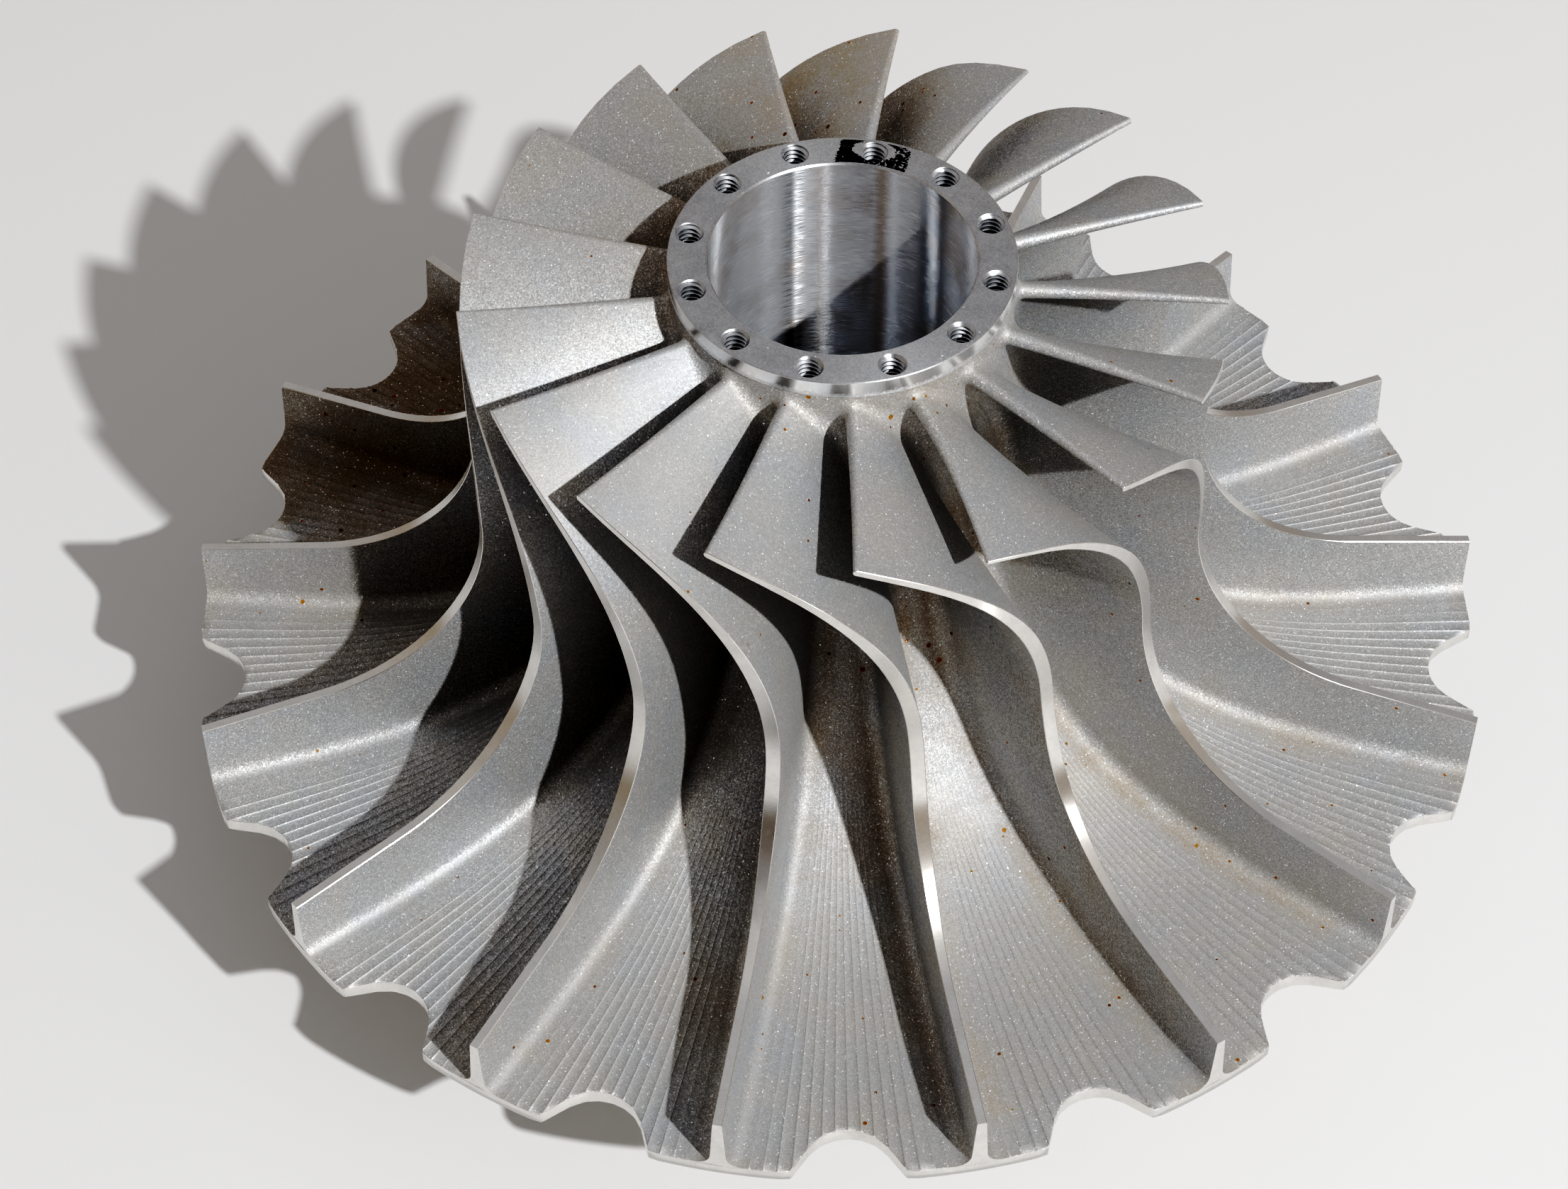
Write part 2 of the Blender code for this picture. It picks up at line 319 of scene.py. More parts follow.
def dusty_metal(tree, here, each):
    """Base colour of the blasted metal with its dust and specks, and the dust film itself."""
    cloud = add(tree, "TexNoise", {"Vector": here, "Scale": per_metre(CLOUD_MM), "Detail": 6.0})
    warmth = add(tree, "MapRange", {"Value": cloud, "From Min": 0.35, "From Max": 0.65})
    metal = add(tree, "Mix", {"Factor": warmth, "A": colour("#abaeb2"), "B": colour("#b1b1b0")},
                data_type="RGBA")
    few_bright = add(tree, "Math", {0: each["Green"], 1: 2.0}, operation="POWER")
    shine = add(tree, "MapRange", {"Value": few_bright, "To Min": DULLEST_GRAIN, "To Max": BRIGHTEST_GRAIN})
    metal = add(tree, "VectorMath", {0: metal, "Scale": shine}, operation="SCALE")

    patches = add(tree, "TexNoise", {"Vector": here, "Scale": per_metre(FILM_MM), "Detail": 8.0,
                                     "Roughness": 0.66})
    patchy = add(tree, "MapRange", {"Value": patches, "From Min": 0.36, "From Max": 0.68,
                                    "To Min": 0.4, "To Max": 1.5})
    dust = add(tree, "Attribute", attribute_name="dust").outputs["Fac"]
    film = add(tree, "Math", {0: dust, 1: patchy}, operation="MULTIPLY", use_clamp=True)
    uneven = add(tree, "MapRange", {"Value": each["Blue"], "To Min": 0.4, "To Max": 1.6})
    grain_film = add(tree, "Math", {0: film, 1: uneven}, operation="MULTIPLY", use_clamp=True)
    dusty = add(tree, "Mix", {"Factor": grain_film, "A": metal, "B": colour("#9a8d7b")}, data_type="RGBA")

    speck = add(tree, "TexVoronoi", {"Vector": here, "Scale": per_metre(SPECK_MM)})
    random = add(tree, "SeparateColor", {0: speck.outputs["Color"]}).outputs
    bar = add(tree, "MapRange", {"Value": film, "To Min": SPECK_BAR_CLEAN, "To Max": SPECK_BAR_DUSTY})
    size = add(tree, "MapRange", {"Value": random["Red"], "From Min": bar, "From Max": 1.03,
                                  "To Min": 0.0, "To Max": SPECK_LARGEST})
    inside = add(tree, "Math", {0: speck, 1: size}, operation="LESS_THAN")
    rust = add(tree, "Mix", {"Factor": random["Green"], "A": colour("#a2713f"), "B": colour("#6b543e")},
               data_type="RGBA")
    return add(tree, "Mix", {"Factor": inside, "A": dusty, "B": rust}, data_type="RGBA"), film


print("room for a rust speck every %.1f mm" % SPECK_MM)

# %% [markdown]
# The whole finish puts the two together. Dimples send part of the light back evenly, as chalk
# does, so the finish is not wholly metallic. Dust hides the metal and takes its gloss away. A
# glinting grain is smooth, and its pale colour is a painted glint that stays bright even in shade.

# %% Bead-blasted aluminium
METAL_BARE = 0.72
METAL_DUSTY = 0.45
METAL_GLINT = 0.35
ROUGH_BARE = 0.58
ROUGH_DUSTY = 0.85
ROUGH_GLINT = 0.16


def blasted_aluminium():
    material, tree, shader = new_metal("bead_blasted_aluminium")
    here = add(tree, "TexCoord").outputs["Object"]
    each, surface, glint = tipped_grains(tree, here)
    metal, film = dusty_metal(tree, here, each)
    # Painted glint: the glinting grains get a near-white colour, so they show as bright dots.
    metal_with_painted_glints = add(tree, "Mix", {"Factor": glint, "A": metal, "B": colour("#f0f0f0")}, data_type="RGBA")
    bare = add(tree, "MapRange", {"Value": film, "To Min": METAL_BARE, "To Max": METAL_DUSTY})
    metallic = add(tree, "Mix", {"Factor": glint, "A": bare, "B": METAL_GLINT})
    matt = add(tree, "MapRange", {"Value": film, "To Min": ROUGH_BARE, "To Max": ROUGH_DUSTY})
    rough = add(tree, "Mix", {"Factor": glint, "A": matt, "B": ROUGH_GLINT})
    feed(shader, {"Base Color": metal_with_painted_glints, "Metallic": metallic, "Roughness": rough, "Normal": surface})
    return material


blasted = blasted_aluminium()
print("finish:", blasted.name)

# %% [markdown]
# Turned aluminium is what the lathe tool left: the tips of the blades, the rim and the nose
# ring. The tool runs round the axis, so the fine lines run round it too. The pattern therefore
# reads only the distance from the axis and the height, and never the angle. Such lines also
# draw a highlight out across themselves. Lines that fine would need a huge mesh, so the
# shader's anisotropy does that, with its direction taken from a tangent round the axis.

# %% Turned aluminium
TOOL_LINE_MM = 0.22
STAIN_MM = 5.0
GRIT_MM = 0.35
GRIT_ROUGHNESS = 0.75
LATHE_STRETCH = 0.6


def stretch_across_lines(tree, shader, amount):
    """Draws highlights out across lines that run round the axis."""
    along = add(tree, "Tangent", direction_type="RADIAL", axis="Z")
    feed(shader, {"Anisotropic": amount, "Anisotropic Rotation": 0.25, "Tangent": along})


def turned_aluminium(name, light, dark, roughness, line_depth, grit_share, mottle):
    """Lathe lines round the axis, stains, a mottle of single grains, and a share of bright grit."""
    material, tree, shader = new_metal(name)
    here = add(tree, "TexCoord").outputs["Object"]
    parts = add(tree, "SeparateXYZ", {0: here}).outputs
    flat = add(tree, "CombineXYZ", {"X": parts["X"], "Y": parts["Y"]})
    radius = add(tree, "VectorMath", {0: flat}, operation="LENGTH")
    profile = add(tree, "CombineXYZ", {"X": radius, "Z": parts["Z"]})
    lines = add(tree, "TexNoise", {"Vector": profile, "Scale": per_metre(TOOL_LINE_MM), "Detail": 2.0})
    stain = add(tree, "TexNoise", {"Vector": here, "Scale": per_metre(STAIN_MM), "Detail": 8.0,
                                   "Roughness": 0.7})
    stained = add(tree, "MapRange", {"Value": stain, "From Min": 0.3, "From Max": 0.7})
    grit = add(tree, "TexVoronoi", {"Vector": here, "Scale": per_metre(GRIT_MM)})
    random = add(tree, "SeparateColor", {0: grit.outputs["Color"]}).outputs
    tone = add(tree, "Mix", {"Factor": mottle, "A": stained, "B": random["Green"]})
    metal = add(tree, "Mix", {"Factor": tone, "A": colour(light), "B": colour(dark)}, data_type="RGBA")
    on_grit = add(tree, "Math", {0: random["Red"], 1: grit_share}, operation="LESS_THAN")
    gritty = add(tree, "Mix", {"Factor": on_grit, "A": metal, "B": colour("#e6e6e4")}, data_type="RGBA")
    rough = add(tree, "MapRange", {"Value": stain, "From Min": 0.3, "From Max": 0.7,
                                   "To Min": roughness * 0.9, "To Max": roughness * 1.15})
    matt = add(tree, "Mix", {"Factor": on_grit, "A": rough, "B": GRIT_ROUGHNESS})
    bump = add(tree, "Bump", {"Height": lines, "Strength": 0.6, "Distance": line_depth})
    feed(shader, {"Base Color": gritty, "Roughness": matt, "Normal": bump})
    stretch_across_lines(tree, shader, LATHE_STRETCH)
    return material


turned = turned_aluminium("lathe_turned_aluminium", "#ebe9e5", "#d3d1cd", 0.25, 0.006 * MM, 0.0, 0.3)
print("finish:", turned.name)

# %% [markdown]
# The gas side of the hub is a quarter of a superellipse, from under the nose ring down to the
# flat disc. The curve is stepped off finely once, with its length, so that later cells can ask
# for the point at any distance from the nose, and for the direction that faces away from it.
# The blades turn about the axis with height: a cubic sweep, and a hook just before the outlet.

# %% The hub line
def hub_line(count=3000):
    share = np.linspace(0.0, 1.0, count)
    angle = 0.5 * math.pi * share * share * (3.0 - 2.0 * share)
    radius = HUB_FLAT_RADIUS - (HUB_FLAT_RADIUS - HUB_NOSE_RADIUS) * np.cos(angle) ** (2.0 / HUB_POWER)
    height = RING_BOTTOM - (RING_BOTTOM - DISC_TOP) * np.sin(angle) ** (2.0 / HUB_POWER)
    radius = np.append(radius, RIM_RADIUS)
    height = np.append(height, DISC_TOP)
    length = np.concatenate([[0.0], np.cumsum(np.hypot(np.diff(radius), np.diff(height)))])
    return length, radius, height


HUB_S, HUB_R, HUB_Z = hub_line()
HUB_LENGTH = HUB_S[-1]


def hub_at(s):
    """Radius, height and the two parts of the outward normal, s metres from the nose."""
    step = 0.2 * MM
    radius = np.interp(s, HUB_S, HUB_R)
    height = np.interp(s, HUB_S, HUB_Z)
    before = np.clip(s - step, 0.0, HUB_LENGTH)
    after = np.clip(s + step, 0.0, HUB_LENGTH)
    along_r = np.interp(after, HUB_S, HUB_R) - np.interp(before, HUB_S, HUB_R)
    along_z = np.interp(after, HUB_S, HUB_Z) - np.interp(before, HUB_S, HUB_Z)
    size = np.hypot(along_r, along_z)
    return radius, height, -along_z / size, along_r / size


def wrap_at(height):
    """Turn of the blades about the axis at a height, and its rate of change."""
    span = OUTLET_TOP - WRAP_START
    rise = np.clip((height - WRAP_START) / span, 0.0, None)
    turn = -SWEEP * rise ** SWEEP_POWER - HOOK * rise ** HOOK_POWER
    sweep_rate = SWEEP * SWEEP_POWER * rise ** (SWEEP_POWER - 1.0)
    hook_rate = HOOK * HOOK_POWER * rise ** (HOOK_POWER - 1.0)
    return turn, -(sweep_rate + hook_rate) / span


print("hub line %.1f mm long" % (HUB_LENGTH / MM))

# %% [markdown]
# The mill cleared each passage with a ball-ended cutter, in passes that follow the blades. Each
# pass leaves a shallow trough, and two troughs meet in a ridge with a crisp lip, which is what
# the eye sees. The outermost pass also rounds the corner to the blade. So one rule gives the
# whole floor: fifteen equal steps between the two corner passes, whose distance from the blades
# is the cutter's radius. Beads bounced back from the blades and hit the ridges beside them
# twice, so these are worn down.

# %% Cutter passes
CUTTER_RADIUS = 3.6 * MM
PASS_COUNT = 15
NARROWEST_PASS = 0.06 * MM
SIDE_RIDGE = 0.2
WORN_PASSES = 3.0
RIDGE_SHARE = 1.2


def passes_at(s):
    """Width of the passage, cutter radius and step between passes, s metres from the nose."""
    radius, height = hub_at(s)[:2]
    rate = wrap_at(height)[1]
    across = radius * PITCH / np.sqrt(1.0 + (radius * rate) ** 2)
    cutter = np.minimum(CUTTER_RADIUS, 0.5 * (across - PASS_COUNT * NARROWEST_PASS) - HALF_ROOT)
    step = (across - 2.0 * (HALF_ROOT + cutter)) / PASS_COUNT
    return across, cutter, np.maximum(step, NARROWEST_PASS)


def ridge_shape(aside):
    """Rise across a trough, from 0 in the middle to 1 at the ridge: a hollow with a crisp lip."""
    return 0.5 * aside ** 2 + 0.5 * aside ** 8


def trough_depth(cutter, step):
    return RIDGE_SHARE * (cutter - np.sqrt(cutter ** 2 - 0.25 * step ** 2))


for s in (0.0, 0.5 * HUB_LENGTH, HUB_LENGTH):
    across, cutter, step = passes_at(np.array(s))
    print("passage %.1f mm, cutter %.2f mm, step %.2f mm" % (across / MM, cutter / MM, step / MM))

# %% [markdown]
# One bay of the wheel, from the middle of one blade to the middle of the next, is bent out of a
# single grid. Its columns follow the passes, five to a trough. Its rows start under the nose
# ring, run down the hub to the rim, over the edge, and back in under the disc to the boss. The
# rim notch is a round-bottomed gap with flared sides, and the last rows of the floor close in
# on its outline.

# %% Outline of the rim
NOTCH_DEPTH = 11.6 * MM
NOTCH_ARC_RADIUS = 10.9 * MM
NOTCH_FLARE = math.radians(34.0)
NOTCH_CENTRE = RIM_RADIUS - NOTCH_DEPTH + NOTCH_ARC_RADIUS
CORNER_BREAK = 0.6 * MM


def rim_outline(angle, corner_break=CORNER_BREAK):
    """Radius of the disc's edge at an angle from the middle of the bay."""
    away = np.abs(angle)
    tangent_x = NOTCH_CENTRE - NOTCH_ARC_RADIUS * math.sin(NOTCH_FLARE)
    tangent_y = NOTCH_ARC_RADIUS * math.cos(NOTCH_FLARE)
    flare = math.tan(NOTCH_FLARE)
    side = (tangent_x - tangent_y / flare) / (np.cos(away) - np.sin(away) / flare)
    inside = np.clip(NOTCH_ARC_RADIUS ** 2 - (NOTCH_CENTRE * np.sin(away)) ** 2, 0.0, None)
    arc = NOTCH_CENTRE * np.cos(away) - np.sqrt(inside)
    notch = np.where(away < math.atan2(tangent_y, tangent_x), arc, side)
    notch = np.where(notch > 0.0, notch, 2.0 * RIM_RADIUS)
    blend = np.sqrt((notch - RIM_RADIUS) ** 2 + corner_break ** 2)
    return 0.5 * (notch + RIM_RADIUS - blend)


trial = np.linspace(0.0, 0.5 * PITCH, 4000)
NOTCH_CORNER = trial[np.argmax(rim_outline(trial, 0.0) > RIM_RADIUS - 0.001 * MM)]
print("notch is %.1f mm wide at the rim" % (2.0 * RIM_RADIUS * math.sin(NOTCH_CORNER) / MM))

# %% [markdown]
# Each column of the bay's grid keeps its place in a trough all the way down. A row at a
# distance s from the nose asks the cutter passes how deep each column lies there. Under the
# blades the floor is sunk a little, so that it can't show through a blade's foot.

# %% Columns across a bay
TROUGH_PLACES = np.array([0.0, 0.05, 0.14, 0.86, 0.95])
MARGIN_CELLS = 3
UNDER_SHARES = (0.0, 0.5, 0.97)
SUNK_UNDER_BLADE = 0.8 * MM
SUNK_RAMP = 2.5 * MM
RIM_ZONE_RADIUS = 140.0 * MM
EDGE_BREAK = 0.18 * MM
TROUGHS = PASS_COUNT - 1
COLUMNS = 2 * MARGIN_CELLS + TROUGHS * len(TROUGH_PLACES)


def column_places(s):
    """Share of the bay and depth below the ridges for each column at s."""
    across, cutter, step = passes_at(s)
    margin = (HALF_ROOT + cutter + 0.5 * step) / across
    left = np.array(UNDER_SHARES) * margin
    middle = np.append((np.arange(TROUGHS)[:, None] + TROUGH_PLACES).ravel(), TROUGHS) / TROUGHS
    share = np.concatenate([left, margin + (1.0 - 2.0 * margin) * middle, 1.0 - left[::-1]])
    in_trough = (middle * TROUGHS) % 1.0
    from_side = np.minimum(middle, 1.0 - middle) * TROUGHS
    ridge = SIDE_RIDGE + (1.0 - SIDE_RIDGE) * smooth_step(from_side, 0.0, WORN_PASSES)
    depth = trough_depth(cutter, step) * (1.0 - ridge * ridge_shape(1.0 - 2.0 * in_trough))
    beyond_end = smooth_step(OUTLET_TOP - hub_at(s)[1], 0.0, SUNK_RAMP)
    sunk = np.full(MARGIN_CELLS, SUNK_UNDER_BLADE * beyond_end)
    return share, np.concatenate([sunk, depth, sunk])


def edge_row(s_of_rim, outward):
    """Radii, angles and depths of a row that is moved out to the rim's outline by a share."""
    share = column_places(s_of_rim)[0]
    angle = (share - 0.5) * PITCH
    for repeat in range(4):
        radii = RIM_ZONE_RADIUS + outward * (rim_outline(angle) - EDGE_BREAK - RIM_ZONE_RADIUS)
        places = [column_places(np.interp(radius, HUB_R, HUB_S)) for radius in radii]
        share = np.array([place[0][column] for column, place in enumerate(places)])
        angle = (share - 0.5) * PITCH
        for sign in (-1.0, 1.0):
            nearest = np.argmin(np.abs(angle - sign * NOTCH_CORNER))
            angle[nearest] += outward * (sign * NOTCH_CORNER - angle[nearest])
    return radii, angle, np.array([place[1][column] for column, place in enumerate(places)])


print("columns across a bay:", COLUMNS)

# %% [markdown]
# Rows run down the hub, close together where it curves most, then out to the rim, over its
# edge, and back in under the disc and down the web to the boss. Near the rim each row moves a
# share of the way to the notched outline, and one column is held on each corner of the notch.

# %% Rows of a bay
HUB_ROWS = 40
ROW_CROWDING = 60.0 * MM
RIM_ROWS = 9
CONE_ROWS = 4
WEB_ROWS = 8
WEB_RADIUS = 96.0 * MM
WEB_BOTTOM = 46.0 * MM
BOSS_RADIUS = 52.0 * MM
BOSS_TOP = 9.0 * MM
LINER_RADIUS = 39.1 * MM


def floor_row(s, outward=None):
    """Radius, height and angle of the floor's points in one row."""
    radius, height, normal_r, normal_z = hub_at(s)
    if outward is None:
        share, depth = column_places(s)
        angle = (share - 0.5) * PITCH
        radii = np.full(angle.shape, float(radius))
    else:
        radii, angle, depth = edge_row(s, outward)
    return radii - normal_r * depth, height - normal_z * depth, angle + wrap_at(height)[0]


def under_height(radius):
    """Underside of the disc: a shallow cone, then a quarter ellipse down to the boss."""
    cone = WEB_BOTTOM + (DISC_BOTTOM - WEB_BOTTOM) * (radius - WEB_RADIUS) / (RIM_RADIUS - WEB_RADIUS)
    across = np.clip((WEB_RADIUS - radius) / (WEB_RADIUS - BOSS_RADIUS), 0.0, 1.0)
    web = BOSS_TOP + (WEB_BOTTOM - BOSS_TOP) * np.sqrt(1.0 - across ** 2)
    return np.where(radius >= WEB_RADIUS, cone, web)


def bay_rows():
    """All the rows of a bay, each as radius, height and angle from the bay's middle."""
    rim_zone_s = np.interp(RIM_ZONE_RADIUS, HUB_R, HUB_S)
    crowded = HUB_S + ROW_CROWDING * np.arctan2(HUB_R - HUB_R[0], HUB_Z - HUB_Z[-1] + 1e-9)
    last = np.interp(rim_zone_s, HUB_S, crowded)
    places = np.interp(np.linspace(0.0, last, HUB_ROWS), crowded, HUB_S)
    rows = [floor_row(s) for s in places]
    rows += [floor_row(HUB_LENGTH, step / RIM_ROWS) for step in range(1, RIM_ROWS + 1)]
    radius, height, angle = rows[-1]
    edge = rim_outline(angle)
    cover = np.arange(COLUMNS + 1)
    covered = (cover < MARGIN_CELLS) | (cover > COLUMNS - MARGIN_CELLS)
    rows[-1] = (np.where(covered, edge, radius), height, angle)
    rows.append((edge, np.where(covered, height, height - EDGE_BREAK), angle))
    rows.append((edge, np.full(edge.shape, DISC_BOTTOM + EDGE_BREAK), angle))
    under_edge = edge - EDGE_BREAK
    under = [under_edge + step / CONE_ROWS * (WEB_RADIUS - under_edge) for step in range(CONE_ROWS + 1)]
    for step in range(1, WEB_ROWS + 1):
        swing = 0.5 * math.pi * step / WEB_ROWS
        under.append(np.full(edge.shape, WEB_RADIUS - (WEB_RADIUS - BOSS_RADIUS) * math.sin(swing)))
    rows += [(radii, under_height(radii), angle) for radii in under]
    rows.append((np.full(edge.shape, LINER_RADIUS), np.full(edge.shape, BOSS_TOP), angle))
    return rows


BAY_TURN = FIRST_BLADE_ANGLE + 0.5 * PITCH
bay = bend_grid([round_axis(radius, angle + BAY_TURN, height) for radius, height, angle in bay_rows()])
print("bay: %d faces" % len(bay.data.polygons))

# %% [markdown]
# The bay is copied round the axis, each copy with its own mesh, and the copies are joined and
# their shared edges merged. The inner edges at the top and the bottom are then bridged, which
# closes the body.

# %% The whole hub and disc
SHARPEST_FLOOR_BEND = 44.0


def ring_of_copies(thing, count, name):
    copies = [thing]
    for index in range(1, count):
        pick(thing)
        bpy.ops.object.duplicate(linked=False)
        copy = bpy.context.object
        copy.rotation_euler.z = 2.0 * math.pi * index / count
        settle(copy)
        copies.append(copy)
    for index, copy in enumerate(copies):
        copy.name = name % (index + 1)
        copy.data.name = copy.name
    return copies


def join(things, name):
    pick(things[0])
    for thing in things[1:]:
        thing.select_set(True)
    bpy.ops.object.join()
    whole = bpy.context.object
    whole.name = name
    whole.data.name = name
    return whole


hub = join(ring_of_copies(bay, BLADE_COUNT, "bay_%02d"), "milled_hub_and_disc")
merge_points(hub)
select_open_edges()
bpy.ops.mesh.bridge_edge_loops()
finish_mesh(hub, SHARPEST_FLOOR_BEND)

# %% [markdown]
# Dust doesn't lie evenly. It gathers in the corners beside the blades and deep in the channels,
# a broad patch of it lies on the far left, and a thin film covers the side towards the sun.
# Painting it on by hand would have to be done eighteen times, so one function works out the
# dust of any point from where it lies, and stores it in the mesh for the shader to read.

# %% Where the dust lies
CORNER_MIDDLE = 3.6 * MM
CORNER_REACH = 2.6 * MM
CHANNEL_REACH = 38.0 * MM
CHANNEL_LIFT = 6.0 * MM
CLEAN_UNDER_RING = 20.0 * MM
DUSTY_FLOOR = math.radians(146.0)
DUSTY_BLADES = math.radians(92.0)
DUSTY_WIDTH = math.radians(26.0)
CLEAR_OF_FLOOR = 2.0 * MM
LIFT_REACH = 26.0 * MM
DUST_EVERYWHERE = 0.08
DUST_BESIDE_CORNERS = 0.30
DUST_IN_CHANNELS = 0.05
SUNNY_SIDE = math.radians(-55.0)
SUNNY_WIDTH = math.radians(75.0)
DUST_ON_SUNNY_FLOOR = 0.22
DUST_ON_SUNNY_BLADES = 0.10
DUST_ON_FLOOR = 0.85
DUST_ON_BLADES = 0.5


def near_turn(turn, middle, width=DUSTY_WIDTH):
    away = (turn - middle + math.pi) % (2.0 * math.pi) - math.pi
    return np.exp(-(away / width) ** 2)


def height_over_floor(radius, height):
    """Distance of each point from the hub line, in batches that fit in the memory."""
    line = np.stack([HUB_R[::12], HUB_Z[::12]], axis=1)
    above = np.empty(len(radius))
    for start in range(0, len(radius), 5000):
        few = slice(start, start + 5000)
        away_r = radius[few, None] - line[:, 0]
        away_z = height[few, None] - line[:, 1]
        above[few] = np.sqrt((away_r ** 2 + away_z ** 2).min(axis=1))
    return above


def lay_dust(thing):
    """Stores how dusty each point is, from how far it lies from the corners and channels."""
    points = points_of(thing)
    radius = np.hypot(points[:, 0], points[:, 1])
    turn = np.arctan2(points[:, 1], points[:, 0])
    place = np.interp(radius - points[:, 2], HUB_R - HUB_Z, HUB_S)
    above = height_over_floor(radius, points[:, 2])
    across = passes_at(place)[0]
    share = ((turn - FIRST_BLADE_ANGLE - wrap_at(points[:, 2])[0]) / PITCH) % 1.0
    beside = np.clip(np.minimum(share, 1.0 - share) * across - HALF_ROOT, 0.0, None)
    from_corner = (beside - CORNER_MIDDLE) / CORNER_REACH
    dust = DUST_BESIDE_CORNERS * np.exp(-from_corner ** 2 - above / CORNER_REACH)
    sunny = near_turn(turn, SUNNY_SIDE, SUNNY_WIDTH)
    dust *= sunny * smooth_step(place, CLEAN_UNDER_RING, 3.0 * CLEAN_UNDER_RING)
    dust += DUST_EVERYWHERE
    above_floor = smooth_step(above, CLEAR_OF_FLOOR, LIFT_REACH)
    dust += DUST_IN_CHANNELS * np.exp(-place / CHANNEL_REACH - above / CHANNEL_LIFT)
    dust += DUST_ON_FLOOR * near_turn(turn, DUSTY_FLOOR) * np.exp(-above / LIFT_REACH)
    dust += DUST_ON_BLADES * near_turn(turn, DUSTY_BLADES) * above_floor
    dust += DUST_ON_SUNNY_FLOOR * sunny * np.exp(-above / CHANNEL_LIFT)
    dust += DUST_ON_SUNNY_BLADES * sunny * above_floor
    layer = thing.data.attributes.new("dust", "FLOAT", "POINT")
    layer.data.foreach_set("value", np.clip(dust, 0.0, 1.0).astype(np.float32))
    return float(dust.mean())


print("mean dust on the hub and disc: %.2f" % lay_dust(hub))

# %% [markdown]
# The mill and the beads never reached the rim and the underside, so these keep the lathe's
# finish. Their faces are told by which way they face and how far out they lie. The hub and the
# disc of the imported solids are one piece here, as they are on the real wheel, because a seam
# would show between them.

# %% Rim and underside get the turned finish
hub.data.materials.append(blasted)
hub.data.materials.append(turned)


def faces_of(thing):
    """How far each face's middle is from the axis, and how much the face looks up."""
    centre = np.empty(len(thing.data.polygons) * 3)
    normal = np.empty(len(thing.data.polygons) * 3)
    thing.data.polygons.foreach_get("center", centre)
    thing.data.polygons.foreach_get("normal", normal)
    return np.hypot(centre[0::3], centre[1::3]), normal[2::3]


beyond, upward = faces_of(hub)
lathe = ((upward < 0.5) & (beyond > RIM_ZONE_RADIUS)) | (upward < -0.2)
hub.data.polygons.foreach_set("material_index", lathe.astype(np.int32))
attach(hub, "root")
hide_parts("hub_core", "scalloped_disc")
print("turned faces:", int(lathe.sum()))

# %% [markdown]
# A blade stands on the floor like a thin curved wall. Its tip follows the shroud line, which the
# lathe cut: straight along the outlet, round a bend and nearly flat to the rim. The tip's width
# swells in the bend, where the real blade is thickest.

# %% The shroud line
HALF_TIP_AT_OUTLET = 0.8 * MM
TIP_SWELLS_BY = 0.9 * MM
TIP_THINS_BY = 0.6 * MM


def shroud_line(count=1500):
    run = math.cos(SHROUD_SLOPE)
    rise = math.tan(SHROUD_SLOPE)
    centre_r = TIP_RADIUS + SHROUD_ARC_RADIUS
    centre_z = INLET_TOP + (RIM_RADIUS - centre_r) * rise + SHROUD_ARC_RADIUS / run
    swing = np.linspace(0.0, 0.5 * math.pi - SHROUD_SLOPE, count)
    radius = np.concatenate([[TIP_RADIUS], centre_r - SHROUD_ARC_RADIUS * np.cos(swing), [RIM_RADIUS]])
    height = np.concatenate([[OUTLET_TOP], centre_z - SHROUD_ARC_RADIUS * np.sin(swing), [INLET_TOP]])
    length = np.concatenate([[0.0], np.cumsum(np.hypot(np.diff(radius), np.diff(height)))])
    return length, radius, height


def half_tip_at(s):
    """Half the width of the tip: thin at the outlet, thickest in the bend, thin at the inlet."""
    thicker = TIP_SWELLS_BY * smooth_step(s, -2.0 * MM, 42.0 * MM)
    thinner = TIP_THINS_BY * smooth_step(s, 72.0 * MM, 124.0 * MM)
    return HALF_TIP_AT_OUTLET + thicker - thinner


TIP_S, TIP_R, TIP_Z = shroud_line()
print("tip line %.1f mm long, up to %.1f mm wide" % (TIP_S[-1] / MM, 2.0 * half_tip_at(TIP_S).max() / MM))

# %% [markdown]
# Every point of a blade turns about the axis by an amount that depends on its height alone, so
# any line across the hub and the tip will do to lay the grid. The grid's short way climbs from
# below the floor, round the fillet that the cutter left, up the wall and over the tip. Its first
# rows follow the last trough, so blade and floor meet without a gap.

# %% Levels of a blade, from foot to tip
STATIONS = 60
FOOT_TURNS = 7
SPAN_CELLS = 8
TIP_BREAK = 0.12 * MM
FOOT_BELOW = 1.0 * MM


def lean_at(radius, height):
    """Sine and cosine of the angle between the blade and the axis."""
    rate = wrap_at(height)[1]
    size = np.sqrt(1.0 + (radius * rate) ** 2)
    return -radius * rate / size, 1.0 / size


def outlet_start(line_s, line_r, line_z, half):
    """Where the straight side ends, so that the round end just reaches the outlet height."""
    reach = np.interp(-OUTLET_TOP, -line_z, line_s)
    radius = np.interp(reach, line_s, line_r)
    cosine = lean_at(radius, OUTLET_TOP)[1]
    return np.interp(-(OUTLET_TOP - half * cosine), -line_z, line_s)


